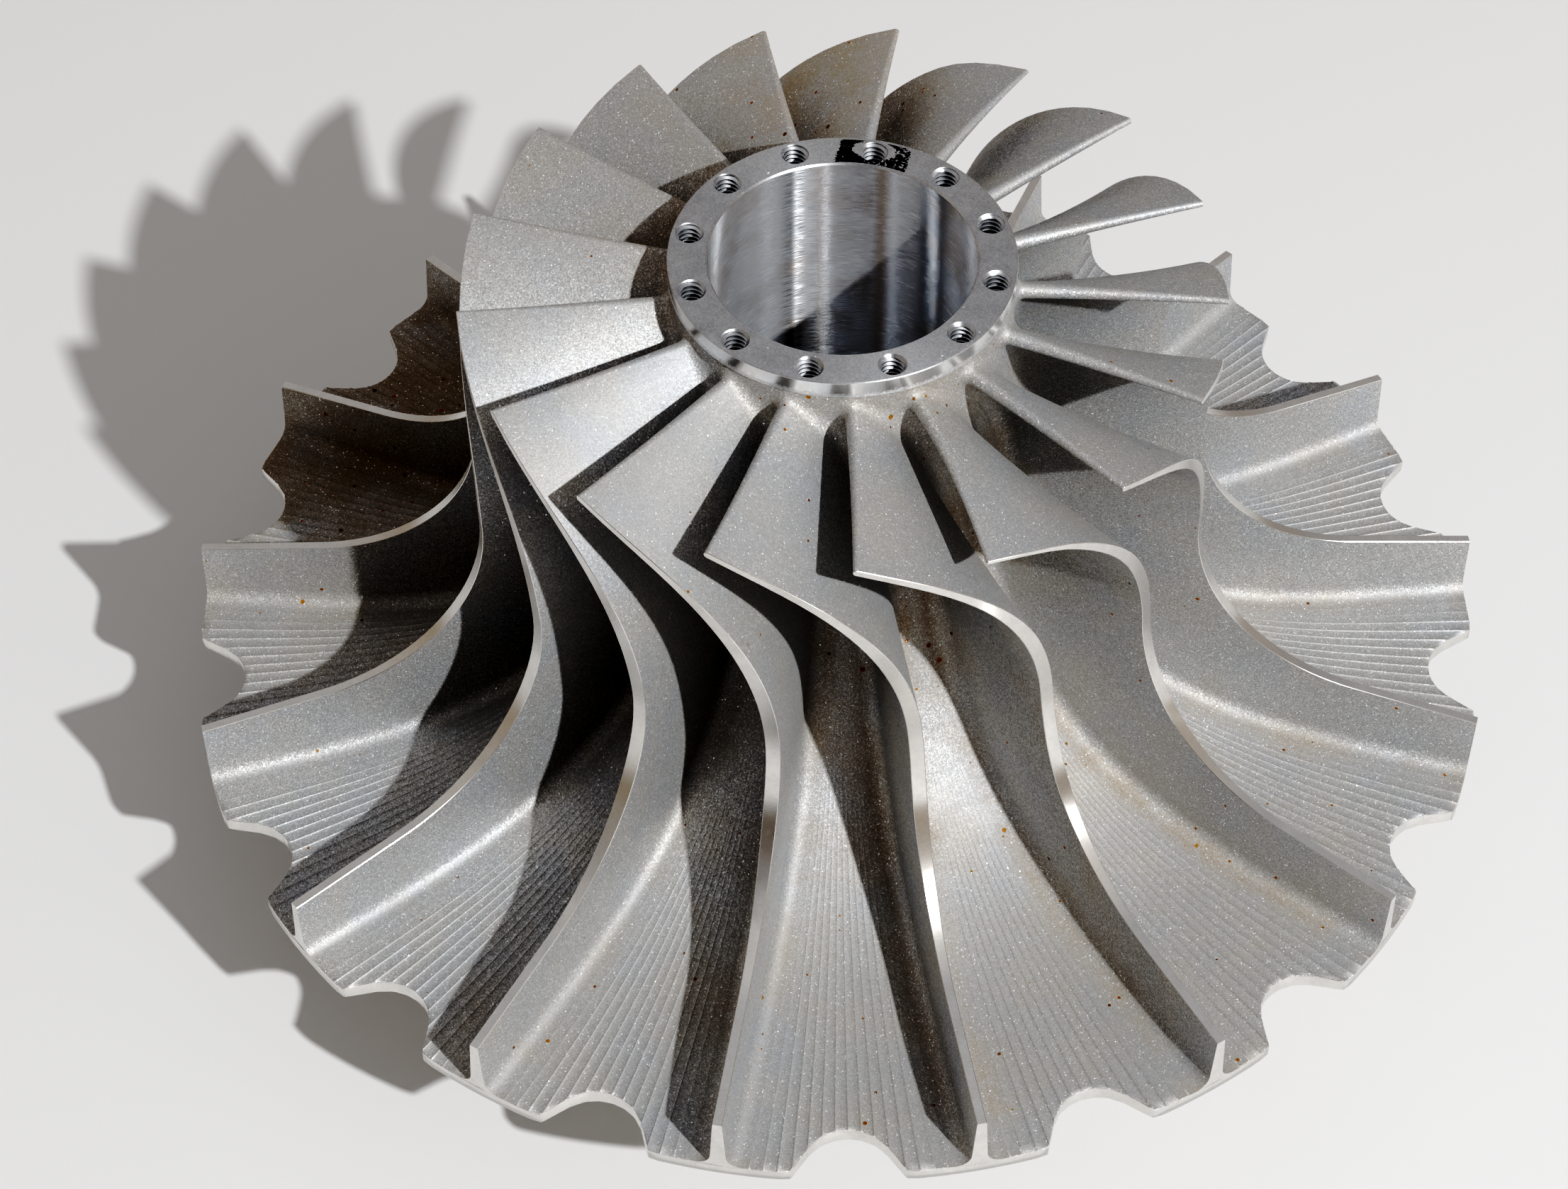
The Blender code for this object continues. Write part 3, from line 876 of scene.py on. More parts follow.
def blade_levels():
    """Rows from foot to tip: middle-line radius and height, and half width, at each station.

    The last number says how closely a row follows the hub line round the blade's end.
    """
    share = np.linspace(0.0, 1.0, STATIONS + 1)
    none, all_of_it = 0.0 * share, 0.0 * share + 1.0
    hub_start = outlet_start(HUB_S, HUB_R, HUB_Z, HALF_ROOT)
    tip_start = outlet_start(TIP_S, TIP_R, TIP_Z, half_tip_at(0.0))
    s = hub_start + share * (HUB_LENGTH - hub_start)
    tip_s = tip_start + share * (TIP_S[-1] - tip_start)
    radius, height, normal_r, normal_z = hub_at(s)
    cutter, step = passes_at(s)[1:]
    edge_angle = np.arcsin(0.5 * step / cutter)
    valley = trough_depth(cutter, step)
    foot_half = HALF_ROOT + cutter + 0.5 * step
    below = (radius - normal_r * FOOT_BELOW, height - normal_z * FOOT_BELOW)
    levels = [(*below, none, all_of_it), (*below, foot_half, all_of_it)]
    for turn in [-1.0, -0.5, *np.linspace(0.0, 1.0, FOOT_TURNS + 1)]:
        angle = turn * edge_angle if turn < 0.0 else turn * 0.5 * math.pi + none
        rise = SIDE_RIDGE * ridge_shape(turn) * valley if turn < 0.0 else cutter * (1.0 - np.cos(angle))
        up = rise - valley
        half = HALF_ROOT + cutter * (1.0 - np.sin(angle))
        levels.append((radius + normal_r * up, height + normal_z * up, half, all_of_it))
    wall_r, wall_z = levels[-1][:2]
    top_r = np.interp(tip_s, TIP_S, TIP_R)
    top_z = np.interp(tip_s, TIP_S, TIP_Z)
    half_tip = half_tip_at(tip_s)
    span = np.hypot(top_r - wall_r, top_z - wall_z)
    for part in [*np.linspace(0.0, 1.0, SPAN_CELLS + 1)[1:-1], 1.0 - TIP_BREAK / span]:
        half = HALF_ROOT + (half_tip - HALF_ROOT) * part
        levels.append((wall_r + (top_r - wall_r) * part, wall_z + (top_z - wall_z) * part,
                       half, 1.0 - part + none))
    levels.append((top_r, top_z, half_tip - TIP_BREAK, none))
    levels.append((top_r, top_z, none, none))
    return levels


print("levels from foot to tip:", len(blade_levels()))

# %% [markdown]
# The grid's long way runs in along one side of the blade, round the outlet edge and back out
# along the other side. Its first and last rows lie on the blade's middle line, so merging closes
# the foot and the tip. The inlet end stays open, and one face closes it.

# %% One blade
END_CELLS = 12
INLET_SETBACK = 0.01 * MM
SHARPEST_BLADE_BEND = 40.0


def around(radius, height, half, follow):
    """One row of the grid, in along the near side, round the outlet end, out along the far side."""
    swing = np.linspace(-0.5 * math.pi, 0.5 * math.pi, END_CELLS + 1)[1:-1]
    station = np.concatenate([np.arange(STATIONS, -1, -1), np.zeros(END_CELLS - 1, int),
                              np.arange(STATIONS + 1)])
    side = np.concatenate([-np.ones(STATIONS + 1), np.sin(swing), np.ones(STATIONS + 1)])
    forward = np.concatenate([np.zeros(STATIONS + 1), np.cos(swing), np.zeros(STATIONS + 1)])
    r, z, width, keep = radius[station], height[station], half[station], follow[station]
    sine, cosine = lean_at(r, z)
    shift_turn = (side * cosine - forward * sine) * width
    shift_up = (side * sine + forward * cosine) * width
    new_z = z + shift_up
    new_r = r + keep * (np.interp(-new_z, -HUB_Z, HUB_R) - np.interp(-z, -HUB_Z, HUB_R))
    angle = wrap_at(z)[0] + shift_turn / r
    new_r = np.where(station == STATIONS, new_r - INLET_SETBACK, new_r)
    return round_axis(new_r, angle, new_z)


def make_blade():
    rows = [around(*level) for level in blade_levels()]
    blade = bend_grid(rows)
    on_tip = np.arange(len(blade.data.polygons)) >= (len(rows) - 3) * (len(rows[0]) - 1)
    blade.data.materials.append(blasted)
    blade.data.materials.append(turned)
    blade.data.polygons.foreach_set("material_index", on_tip.astype(np.int32))
    blade.rotation_euler.z = FIRST_BLADE_ANGLE
    settle(blade)
    merge_points(blade)
    select_open_edges()
    bpy.ops.mesh.edge_face_add()
    finish_mesh(blade, SHARPEST_BLADE_BEND)
    return blade


blade = make_blade()

# %% [markdown]
# The inlet edge was cut on the lathe with the rim, so its faces take the turned finish too. The
# finished blade is then copied sixteen times round the axis.

# %% The inlet edge, and sixteen copies
for index in np.flatnonzero(faces_of(blade)[0] > RIM_RADIUS - 0.05 * MM):
    blade.data.polygons[index].material_index = 1
blades = ring_of_copies(blade, BLADE_COUNT, "milled_blade_%02d")
print("blades:", len(blades))

# %% [markdown]
# Two blades were knocked, and the last few millimetres of their outlet corners are bent down.
# The bend grows towards the corner and towards the tip, so the rest of the blade stays as it was.

# %% Bent corners
BENDS = {4: (-4.0 * MM, 2.0 * MM), 10: (-3.2 * MM, 0.0)}
BEND_REACH = 10.0 * MM
BEND_ROOT_RADIUS = 45.0 * MM


def bend_corner(number, sideways, onward):
    thing = blades[number - 1]
    points = points_of(thing)
    radius = np.hypot(points[:, 0], points[:, 1])
    near_end = np.clip(1.0 - (OUTLET_TOP - points[:, 2]) / BEND_REACH, 0.0, 1.0) ** 2
    near_tip = np.clip((radius - BEND_ROOT_RADIUS) / (TIP_RADIUS - BEND_ROOT_RADIUS), 0.0, 1.0) ** 1.5
    sine, cosine = lean_at(TIP_RADIUS, OUTLET_TOP)
    shift_round = sideways * cosine - onward * sine
    shift_up = sideways * sine + onward * cosine
    turn = FIRST_BLADE_ANGLE + (number - 1) * PITCH + wrap_at(OUTLET_TOP)[0]
    push = np.array([-math.sin(turn) * shift_round, math.cos(turn) * shift_round, shift_up])
    put_points(thing, points + (near_end * near_tip)[:, None] * push)
    print("%s: corner moved %.1f mm" % (thing.name, math.hypot(sideways, onward) / MM))


for number, (sideways, onward) in BENDS.items():
    bend_corner(number, sideways, onward)

# %% [markdown]
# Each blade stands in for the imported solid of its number, and takes its dust from where it
# stands, so no two blades are quite alike.

# %% Blades on the body
for index, each in enumerate(blades):
    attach(each, "root")
    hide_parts("blade_%02d" % (index + 1))
dust = [lay_dust(each) for each in blades]
print("mean dust on a blade: %.2f to %.2f" % (min(dust), max(dust)))

# %% [markdown]
# The nose ring and the bore are one turned sleeve. A short line of points, drawn by extruding a
# single point from place to place, is its section, and the spin operator swings that line round
# the axis.

# %% A section that is drawn and spun
def draw_section(name, outline):
    """Draws a closed line of (radius, height) points in the plane y = 0."""
    bpy.ops.object.select_all(action="DESELECT")
    bpy.ops.mesh.primitive_plane_add(size=1.0 * MM)
    section = bpy.context.object
    section.name = name
    edit(section, "VERT")
    bpy.ops.mesh.select_all(action="SELECT")
    bpy.ops.mesh.merge(type="CENTER")
    start = Vector((outline[0][0], 0.0, outline[0][1]))
    bpy.ops.transform.translate(value=start)
    for (r0, z0), (r1, z1) in zip(outline, outline[1:] + outline[:1]):
        bpy.ops.mesh.extrude_region_move(TRANSFORM_OT_translate={"value": (r1 - r0, 0.0, z1 - z0)})
    done()
    return section


def spin_section(section, steps):
    merge_points(section)
    bpy.ops.mesh.select_all(action="SELECT")
    bpy.ops.mesh.spin(steps=steps, angle=2.0 * math.pi, center=(0.0, 0.0, 0.0),
                      axis=(0.0, 0.0, 1.0))
    merge_points(section)
    done()
    return section


def rounded_corner(centre_r, centre_z, size, first, last, count=4):
    """Points on a small arc, from one direction to another in degrees."""
    turns = [math.radians(first + (last - first) * step / count) for step in range(count + 1)]
    return [(centre_r + size * math.cos(turn), centre_z + size * math.sin(turn)) for turn in turns]


TURNED_STEPS = 12 * BLADE_COUNT
RING_EDGE = 0.35 * MM
BORE_EDGE = 0.4 * MM

ring_outline = rounded_corner(RING_RADIUS - RING_EDGE, NOSE_TOP - RING_EDGE, RING_EDGE, 90.0, 0.0)
ring_outline += [
    (RING_RADIUS, RING_BOTTOM + 0.5 * MM),
    (RING_RADIUS - 0.3 * MM, RING_BOTTOM),
    (LINER_RADIUS, RING_BOTTOM - 0.4 * MM),
    (LINER_RADIUS, BOSS_TOP),
    (BORE_RADIUS, BOSS_TOP),
    (BORE_RADIUS, NOSE_TOP - BORE_EDGE),
    (BORE_RADIUS + BORE_EDGE, NOSE_TOP),
]
sleeve = spin_section(draw_section("turned_nose_and_bore", ring_outline), TURNED_STEPS)
finish_mesh(sleeve)

# %% [markdown]
# Twelve holes in the ring are tapped for quarter inch screws. The holes of the sleeve are cut
# with a copy of the drill and countersink in each place, all joined into one tool, so that a
# single boolean does it. A plain hole of the thread's full width comes first, with a broken
# edge, and the next cell lays the thread in it.

# %% Tapped holes
HOLE_COUNT = 12
HOLE_CIRCLE_RADIUS = 35.5 * MM
FIRST_HOLE_ANGLE = math.radians(107.5)
HOLE_DEPTH = 16.0 * MM
THREAD_MAJOR = 3.175 * MM
SINK_RADIUS = 3.3 * MM
HOLE_SIDES = 40


def hole_tool():
    """A drill and a countersink in one closed body, standing on the ring's axis for now."""
    outline = [
        (0.0, NOSE_TOP + 1.0 * MM),
        (SINK_RADIUS + 1.0 * MM, NOSE_TOP + 1.0 * MM),
        (SINK_RADIUS, NOSE_TOP),
        (THREAD_MAJOR, NOSE_TOP - (SINK_RADIUS - THREAD_MAJOR)),
        (THREAD_MAJOR, NOSE_TOP - HOLE_DEPTH),
        (0.0, NOSE_TOP - HOLE_DEPTH - 0.9 * THREAD_MAJOR),
    ]
    return spin_section(draw_section("hole_tool", outline), HOLE_SIDES)


def place_on_circle(thing, count, name):
    thing.location.x = HOLE_CIRCLE_RADIUS
    settle(thing)
    thing.rotation_euler.z = FIRST_HOLE_ANGLE
    settle(thing)
    return join(ring_of_copies(thing, count, "part_%02d"), name)


tools = place_on_circle(hole_tool(), HOLE_COUNT, "hole_tools")
finish_mesh(tools)
cut = sleeve.modifiers.new("Tapped holes", "BOOLEAN")
cut.operation = "DIFFERENCE"
cut.solver = "EXACT"
cut.object = tools
apply_all(sleeve)
bpy.data.objects.remove(tools)
print("ring with holes:", len(sleeve.data.polygons), "faces")

# %% [markdown]
# A thread is one ridge that climbs round the wall. Its section is a trapezium with its back sunk
# in the wall, so that no gap shows. Near the mouth the ridge is held outside the countersink's
# cone, which thins its first turn as the tool did.

# %% The thread in each hole
THREAD_MINOR = 2.55 * MM
THREAD_PITCH = 1.27 * MM
THREAD_TOP_GAP = 0.08 * MM
SHARPEST_THREAD_BEND = 40.0


def make_thread():
    outer = THREAD_MAJOR + 0.05 * MM
    wide = 0.44 * THREAD_PITCH
    narrow = 0.14 * THREAD_PITCH
    section = [(outer, wide), (THREAD_MINOR, narrow), (THREAD_MINOR, -narrow), (outer, -wide)]
    section.append(section[0])
    steps = int(HOLE_DEPTH / THREAD_PITCH) * HOLE_SIDES
    turn = np.arange(steps + 1) * 2.0 * math.pi / HOLE_SIDES
    climb = NOSE_TOP - HOLE_DEPTH + 0.8 * THREAD_PITCH + THREAD_PITCH * turn / (2.0 * math.pi)
    rows = []
    for radius, rise in section:
        height = np.minimum(climb + rise, NOSE_TOP - THREAD_TOP_GAP)
        cone = SINK_RADIUS - (NOSE_TOP - height)
        rows.append(round_axis(np.clip(radius, cone, outer), turn, height))
    thread = bend_grid(rows)
    merge_points(thread, 0.001 * MM)
    select_open_edges()
    bpy.ops.mesh.edge_face_add()
    done()
    return thread


threads = place_on_circle(make_thread(), HOLE_COUNT, "tapped_threads")
finish_mesh(threads, SHARPEST_THREAD_BEND)

# %% [markdown]
# The wall of the bore isn't even. Three dark upright runs are painted shade, over the lamp's
# streak and over two bright reflected bars. Two brown runs are painted reflections of brown
# things round the wheel, and one narrow pale line is a painted highlight along the lamp's streak.
# An image could hold them, but a few numbers do as well: each run is given as its angle and half
# its width, in degrees round the axis, and its strength, and it fades out on both sides.

# %% Upright runs in the bore
# Painted shade runs, the painted highlight line and painted reflection runs: angle, half width, strength.
PAINTED_SHADE_RUNS = ((111.0, 9.0, 0.9), (44.0, 15.0, 0.9), (186.0, 24.0, 0.95))
PAINTED_HIGHLIGHT_LINE = (110.0, 2.5, 0.25)
PAINTED_REFLECTION_RUNS = ((71.7, 6.0, 0.55), (98.3, 3.5, 0.45))


def upright_run(tree, turn, degrees, half_width, strength):
    """A share that is highest along an upright line in the bore and fades out beside it."""
    away = add(tree, "Math", {0: turn, 1: math.radians(degrees)}, operation="SUBTRACT")
    away = add(tree, "Math", {0: away}, operation="ABSOLUTE")
    return add(tree, "MapRange", {"Value": away, "From Min": 0.0, "From Max": math.radians(half_width),
                                  "To Min": strength, "To Max": 0.0}, interpolation_type="SMOOTHSTEP")


def tone_of_runs(tree, turn, metal, stain):
    """The metal's colour with painted shade, stain, painted reflections and a painted highlight, and the
    highlight's share.
    """
    # Painted shade: dark runs over the lamp's streak and over two reflected bars.
    for run in PAINTED_SHADE_RUNS:
        painted_shade = upright_run(tree, turn, *run)
        metal = add(tree, "Mix", {"Factor": painted_shade, "A": metal, "B": colour("#65686d")}, data_type="RGBA")
    stain = add(tree, "MapRange", {"Value": stain, "From Min": 0.5, "From Max": 0.75, "To Max": 0.45})
    # Painted reflections: the brown runs join the real smeared stain.
    for run in PAINTED_REFLECTION_RUNS:
        stain = add(tree, "Math", {0: stain, 1: upright_run(tree, turn, *run)}, operation="MAXIMUM")
    stain_and_painted_reflection = add(tree, "Mix", {"Factor": stain, "A": metal, "B": colour("#9d8a74")}, data_type="RGBA")
    # Painted highlight: a pale narrow line along the lamp's streak.
    painted_highlight = upright_run(tree, turn, *PAINTED_HIGHLIGHT_LINE)
    metal_with_painted_runs = add(tree, "Mix", {"Factor": painted_highlight, "A": stain_and_painted_reflection, "B": colour("#f0f2f5")}, data_type="RGBA")
    return metal_with_painted_runs, painted_highlight


print("upright runs in the bore:", len(PAINTED_SHADE_RUNS) + len(PAINTED_REFLECTION_RUNS) + 1)

# %% [markdown]
# The bore was honed and then wiped. Fine scratches run round it, so a lamp draws out into
# upright streaks, which the shader makes with full anisotropy. The scratches also throw light up
# and down, so a fine noise tips the surface along the axis. The noise reads the angle as well,
# but much more slowly than the height, which makes each scratch long and thin.

# %% Honed aluminium of the bore
SCRATCH_MM = 0.16
SCRATCH_LENGTH_MM = 7.0
SCRATCH_LOW_TIP = -0.2
SCRATCH_HIGH_TIP = 0.6
SMEAR_MM = 11.0
SMOOTHEST_HONED = 0.19
ROUGHEST_HONED = 0.28
ROUGH_ON_HIGHLIGHT_LINE = 0.24
METAL_HONED = 0.83
BORE_STRETCH = 1.0


def bored_aluminium():
    material, tree, shader = new_metal("honed_bore_aluminium")
    here = add(tree, "TexCoord").outputs["Object"]
    parts = add(tree, "SeparateXYZ", {0: here}).outputs
    turn = add(tree, "Math", {0: parts["Y"], 1: parts["X"]}, operation="ARCTAN2")
    along = add(tree, "Math", {0: turn, 1: BORE_RADIUS * SCRATCH_MM / SCRATCH_LENGTH_MM},
                operation="MULTIPLY")
    wall = add(tree, "CombineXYZ", {"X": along, "Z": parts["Z"]})
    scratch = add(tree, "TexNoise", {"Vector": wall, "Scale": per_metre(SCRATCH_MM), "Detail": 3.0})
    smear = add(tree, "TexNoise", {"Vector": here, "Scale": per_metre(SMEAR_MM), "Detail": 6.0})
    tone = add(tree, "MapRange", {"Value": scratch, "From Min": 0.35, "From Max": 0.65})
    metal = add(tree, "Mix", {"Factor": tone, "A": colour("#d4d7db"), "B": colour("#e4e6e9")},
                data_type="RGBA")
    # The runs paint shade, reflections and a highlight into the bore's colour.
    metal, painted_highlight = tone_of_runs(tree, turn, metal, smear)
    rough = add(tree, "MapRange", {"Value": scratch, "From Min": 0.3, "From Max": 0.7,
                                   "To Min": SMOOTHEST_HONED, "To Max": ROUGHEST_HONED})
    smoother = add(tree, "Mix", {"Factor": painted_highlight, "A": rough, "B": ROUGH_ON_HIGHLIGHT_LINE})
    lines = add(tree, "TexNoise", {"Vector": wall, "Scale": per_metre(0.5 * SCRATCH_MM), "Detail": 1.0})
    tip = add(tree, "MapRange", {"Value": lines, "From Min": 0.25, "From Max": 0.75,
                                 "To Min": SCRATCH_LOW_TIP, "To Max": SCRATCH_HIGH_TIP})
    upward = add(tree, "CombineXYZ", {"Z": tip})
    normal = add(tree, "NewGeometry").outputs["Normal"]
    tipped = add(tree, "VectorMath", {0: normal, 1: upward}, operation="ADD")
    surface = add(tree, "VectorMath", {0: tipped}, operation="NORMALIZE")
    feed(shader, {"Base Color": metal, "Roughness": smoother, "Normal": surface,
                  "Metallic": METAL_HONED})
    stretch_across_lines(tree, shader, BORE_STRETCH)
    return material


bored = bored_aluminium()
print("finish:", bored.name)

# %% [markdown]
# A patch of black marking ink lies on the ring's face, round one hole. A bolt head kept its
# middle clear, and wear has chipped the rest. The patch is worked out in the shader and not cut
# into the mesh, so that its edge can be ragged: a fine noise shakes the coordinates before they
# are compared with the patch's size. The clear middle is a box with cut corners.

# %% Ink on the ring's face
INK_ANGLE = math.radians(77.5)
INK_HALF_LENGTH = 8.3 * MM
INK_INNER_RADIUS = 31.2 * MM
INK_OUTER_RADIUS = 38.9 * MM
INK_KEPT = (0.55, 0.72)
INK_CRUMB_MM = 0.5
INK_CHIP_MM = 0.7
INK_SHAKE = 0.5 * MM
CLEAR_HALF_LENGTH = 5.0 * MM
CLEAR_HALF_WIDTH = 2.9 * MM
CLEAR_RADIUS = 36.0 * MM
CLEAR_CORNER = 1.45


def inside_box(tree, value, low, high):
    """1 where a value lies between two numbers, else 0."""
    above = add(tree, "Math", {0: value, 1: low}, operation="GREATER_THAN")
    below = add(tree, "Math", {0: value, 1: high}, operation="LESS_THAN")
    return add(tree, "Math", {0: above, 1: below}, operation="MULTIPLY")


def outside_clear_middle(tree, across, outward):
    """1 outside the box with cut corners that the bolt head covered, else 0."""
    along = add(tree, "Math", {0: across, 1: CLEAR_HALF_LENGTH}, operation="DIVIDE")
    along = add(tree, "Math", {0: along}, operation="ABSOLUTE")
    wide = add(tree, "Math", {0: outward, 1: CLEAR_RADIUS}, operation="SUBTRACT")
    wide = add(tree, "Math", {0: wide, 1: CLEAR_HALF_WIDTH}, operation="DIVIDE")
    wide = add(tree, "Math", {0: wide}, operation="ABSOLUTE")
    corner = add(tree, "Math", {0: along, 1: wide}, operation="ADD")
    corner = add(tree, "Math", {0: corner, 1: CLEAR_CORNER}, operation="DIVIDE")
    largest = add(tree, "Math", {0: along, 1: wide}, operation="MAXIMUM")
    largest = add(tree, "Math", {0: largest, 1: corner}, operation="MAXIMUM")
    return add(tree, "Math", {0: largest, 1: 1.0}, operation="GREATER_THAN")


def mark_with_ink(material):
    tree = material.node_tree
    shader = tree.nodes["Principled BSDF"]
    here = add(tree, "TexCoord").outputs["Object"]
    crumb = add(tree, "TexNoise", {"Vector": here, "Scale": per_metre(INK_CRUMB_MM), "Detail": 4.0})
    shake = add(tree, "MapRange", {"Value": crumb, "From Min": 0.3, "From Max": 0.7,
                                   "To Min": -INK_SHAKE, "To Max": INK_SHAKE})
    turned_back = add(tree, "VectorRotate", {"Vector": here, "Angle": -INK_ANGLE}, rotation_type="Z_AXIS")
    parts = add(tree, "SeparateXYZ", {0: turned_back}).outputs
    across = add(tree, "Math", {0: parts["Y"], 1: shake}, operation="ADD")
    outward = add(tree, "Math", {0: parts["X"], 1: shake}, operation="ADD")
    radius = add(tree, "VectorMath", {0: here, 1: (1.0, 1.0, 0.0)}, operation="MULTIPLY")
    radius = add(tree, "VectorMath", {0: radius}, operation="LENGTH")
    block = add(tree, "Math", {0: inside_box(tree, across, -INK_HALF_LENGTH, INK_HALF_LENGTH),
                               1: inside_box(tree, radius, INK_INNER_RADIUS, INK_OUTER_RADIUS)},
                operation="MULTIPLY")
    outside = outside_clear_middle(tree, across, outward)
    this_side = add(tree, "Math", {0: outward, 1: 0.0}, operation="GREATER_THAN")
    block = add(tree, "Math", {0: block, 1: this_side}, operation="MULTIPLY")
    ink = add(tree, "Math", {0: block, 1: outside}, operation="MULTIPLY")
    side = add(tree, "MapRange", {"Value": across, "From Min": -INK_HALF_LENGTH,
                                  "From Max": INK_HALF_LENGTH, "To Min": INK_KEPT[0],
                                  "To Max": INK_KEPT[1]})
    chip = add(tree, "TexNoise", {"Vector": here, "Scale": per_metre(INK_CHIP_MM), "Detail": 3.0})
    kept = add(tree, "Math", {0: chip, 1: side}, operation="LESS_THAN")
    ink = add(tree, "Math", {0: ink, 1: kept}, operation="MULTIPLY")
    base = shader.inputs["Base Color"].links[0].from_socket
    inked = add(tree, "Mix", {"Factor": ink, "A": base, "B": colour("#141315")}, data_type="RGBA")
    bare = add(tree, "Math", {0: 1.0, 1: ink}, operation="SUBTRACT")
    feed(shader, {"Base Color": inked, "Metallic": bare})


print("ink patch %.1f mm long" % (2.0 * INK_HALF_LENGTH / MM))

# %% [markdown]
# The band round the ring is the brightest turned face. Beads reached its foot while the hub
# was blasted, and left a rough strip there with a ragged upper limit.

# %% Grit at the foot of the band
FOOT_GRAIN_MM = 0.2
FOOT_RAGGED_MM = 0.6
FOOT_RAGGED = 2.6 * MM
FOOT_FULL = 2.3 * MM
FOOT_END = 3.2 * MM
FOOT_ROUGHNESS = 0.5


def roughen_foot(material):
    tree = material.node_tree
    shader = tree.nodes["Principled BSDF"]
    here = add(tree, "TexCoord").outputs["Object"]
    grain = add(tree, "TexVoronoi", {"Vector": here, "Scale": per_metre(FOOT_GRAIN_MM)})
    random = add(tree, "SeparateColor", {0: grain.outputs["Color"]}).outputs
    ragged = add(tree, "TexNoise", {"Vector": here, "Scale": per_metre(FOOT_RAGGED_MM), "Detail": 4.0})
    parts = add(tree, "SeparateXYZ", {0: here}).outputs
    shaken = add(tree, "Math", {0: ragged, 1: FOOT_RAGGED, 2: parts["Z"]}, operation="MULTIPLY_ADD")
    foot = add(tree, "MapRange", {"Value": shaken, "From Min": RING_BOTTOM + FOOT_FULL,
                                  "From Max": RING_BOTTOM + FOOT_END, "To Min": 1.0, "To Max": 0.0})
    base = shader.inputs["Base Color"].links[0].from_socket
    grey = add(tree, "Mix", {"Factor": random["Green"], "A": colour("#b4b5b7"), "B": colour("#f0f0f0")},
               data_type="RGBA")
    mixed = add(tree, "Mix", {"Factor": foot, "A": base, "B": grey}, data_type="RGBA")
    rough = shader.inputs["Roughness"].links[0].from_socket
    matt = add(tree, "Mix", {"Factor": foot, "A": rough, "B": FOOT_ROUGHNESS})
    feed(shader, {"Base Color": mixed, "Roughness": matt})


print("rough foot, about %.1f mm high" % ((FOOT_END - 0.5 * FOOT_RAGGED) / MM))

# %% [markdown]
# The ring's face is turned and dull, with a mottle and a little grit from the blasting. The band
# is brighter, and the tapped holes lie between the two. Each is the turned finish with its own
# colours, roughness and depth of line. Which face gets which is told by its distance from the
# axis and by whether it stands upright.

# %% Finishes on the ring
ring_face = turned_aluminium("turned_ring_face_aluminium", "#d9dadc", "#a9abae", 0.38, 0.004 * MM,
                             0.002, 0.5)
mark_with_ink(ring_face)
ring_band = turned_aluminium("turned_ring_band_aluminium", "#e8e8e8", "#d4d4d4", 0.20, 0.002 * MM,
                             0.0, 0.3)
roughen_foot(ring_band)
tapped = turned_aluminium("tapped_aluminium", "#c9cbce", "#b1b4b8", 0.36, 0.001 * MM, 0.0, 0.3)

for finish in (ring_face, ring_band, bored):
    sleeve.data.materials.append(finish)
beyond, upward = faces_of(sleeve)
upright = np.abs(upward) < 0.3
on_band = upright & (beyond > LINER_RADIUS)
in_bore = upright & (beyond < BORE_RADIUS + 0.1 * MM)
sleeve.data.polygons.foreach_set("material_index", (1 * on_band + 2 * in_bore).astype(np.int32))
pick(sleeve)
bpy.ops.object.shade_smooth_by_angle(angle=math.radians(SHARP_DEGREES))
threads.data.materials.append(tapped)
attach(sleeve, "root")
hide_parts("nose_ring")
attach(threads, "root")
print("bore faces:", int(in_bore.sum()))

# %% [markdown]
# The boss under the hub is plain turned work: a short round with a rounded outer edge, bored
# through, on whose flat face the wheel stands. The photo doesn't show it.

# %% Rear boss
BOSS_EDGE = 1.0 * MM
boss_outline = [(BOSS_RADIUS, BOSS_TOP)]
boss_outline += rounded_corner(BOSS_RADIUS - BOSS_EDGE, BOSS_EDGE, BOSS_EDGE, 0.0, -90.0)
boss_outline += [
    (BORE_RADIUS + BORE_EDGE, 0.0),
    (BORE_RADIUS, BORE_EDGE),
    (BORE_RADIUS, BOSS_TOP),
]
boss = spin_section(draw_section("turned_rear_boss", boss_outline), TURNED_STEPS)
finish_mesh(boss)
boss.data.materials.append(turned)
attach(boss, "root")
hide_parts("rear_boss")

# %% [markdown]
# The wheel stands on a plain pale floor. One round lamp stands where the sun stood in the photo,
# to the right of the camera and high, and a pale surround fills in the rest, as a studio's white
# walls do. The lamp is small for its distance, so the blades throw the photo's firm shadows.

# %% Floor and lamp
FLOOR_SIZE = 8.0
FLOOR_ROUGHNESS = 0.6
LAMP_DIRECTION = Vector((0.457, -0.593, 0.663)).normalized()
LAMP_DISTANCE = 3.0
LAMP_SIZE = 0.07
LAMP_POWER = 106.0
LAMP_COLOUR = (0.982, 0.991, 1.0)
LIT_SPOT = Vector((0.0, 0.0, 0.1))

bpy.ops.object.select_all(action="DESELECT")
bpy.ops.mesh.primitive_plane_add(size=FLOOR_SIZE)
floor = bpy.context.object
floor.name = "floor"
floor_material = bpy.data.materials.new("pale_painted_floor")
floor_material.use_nodes = True
feed(floor_material.node_tree.nodes["Principled BSDF"],
     {"Base Color": colour("#d9d9d9"), "Roughness": FLOOR_ROUGHNESS})
floor.data.materials.append(floor_material)

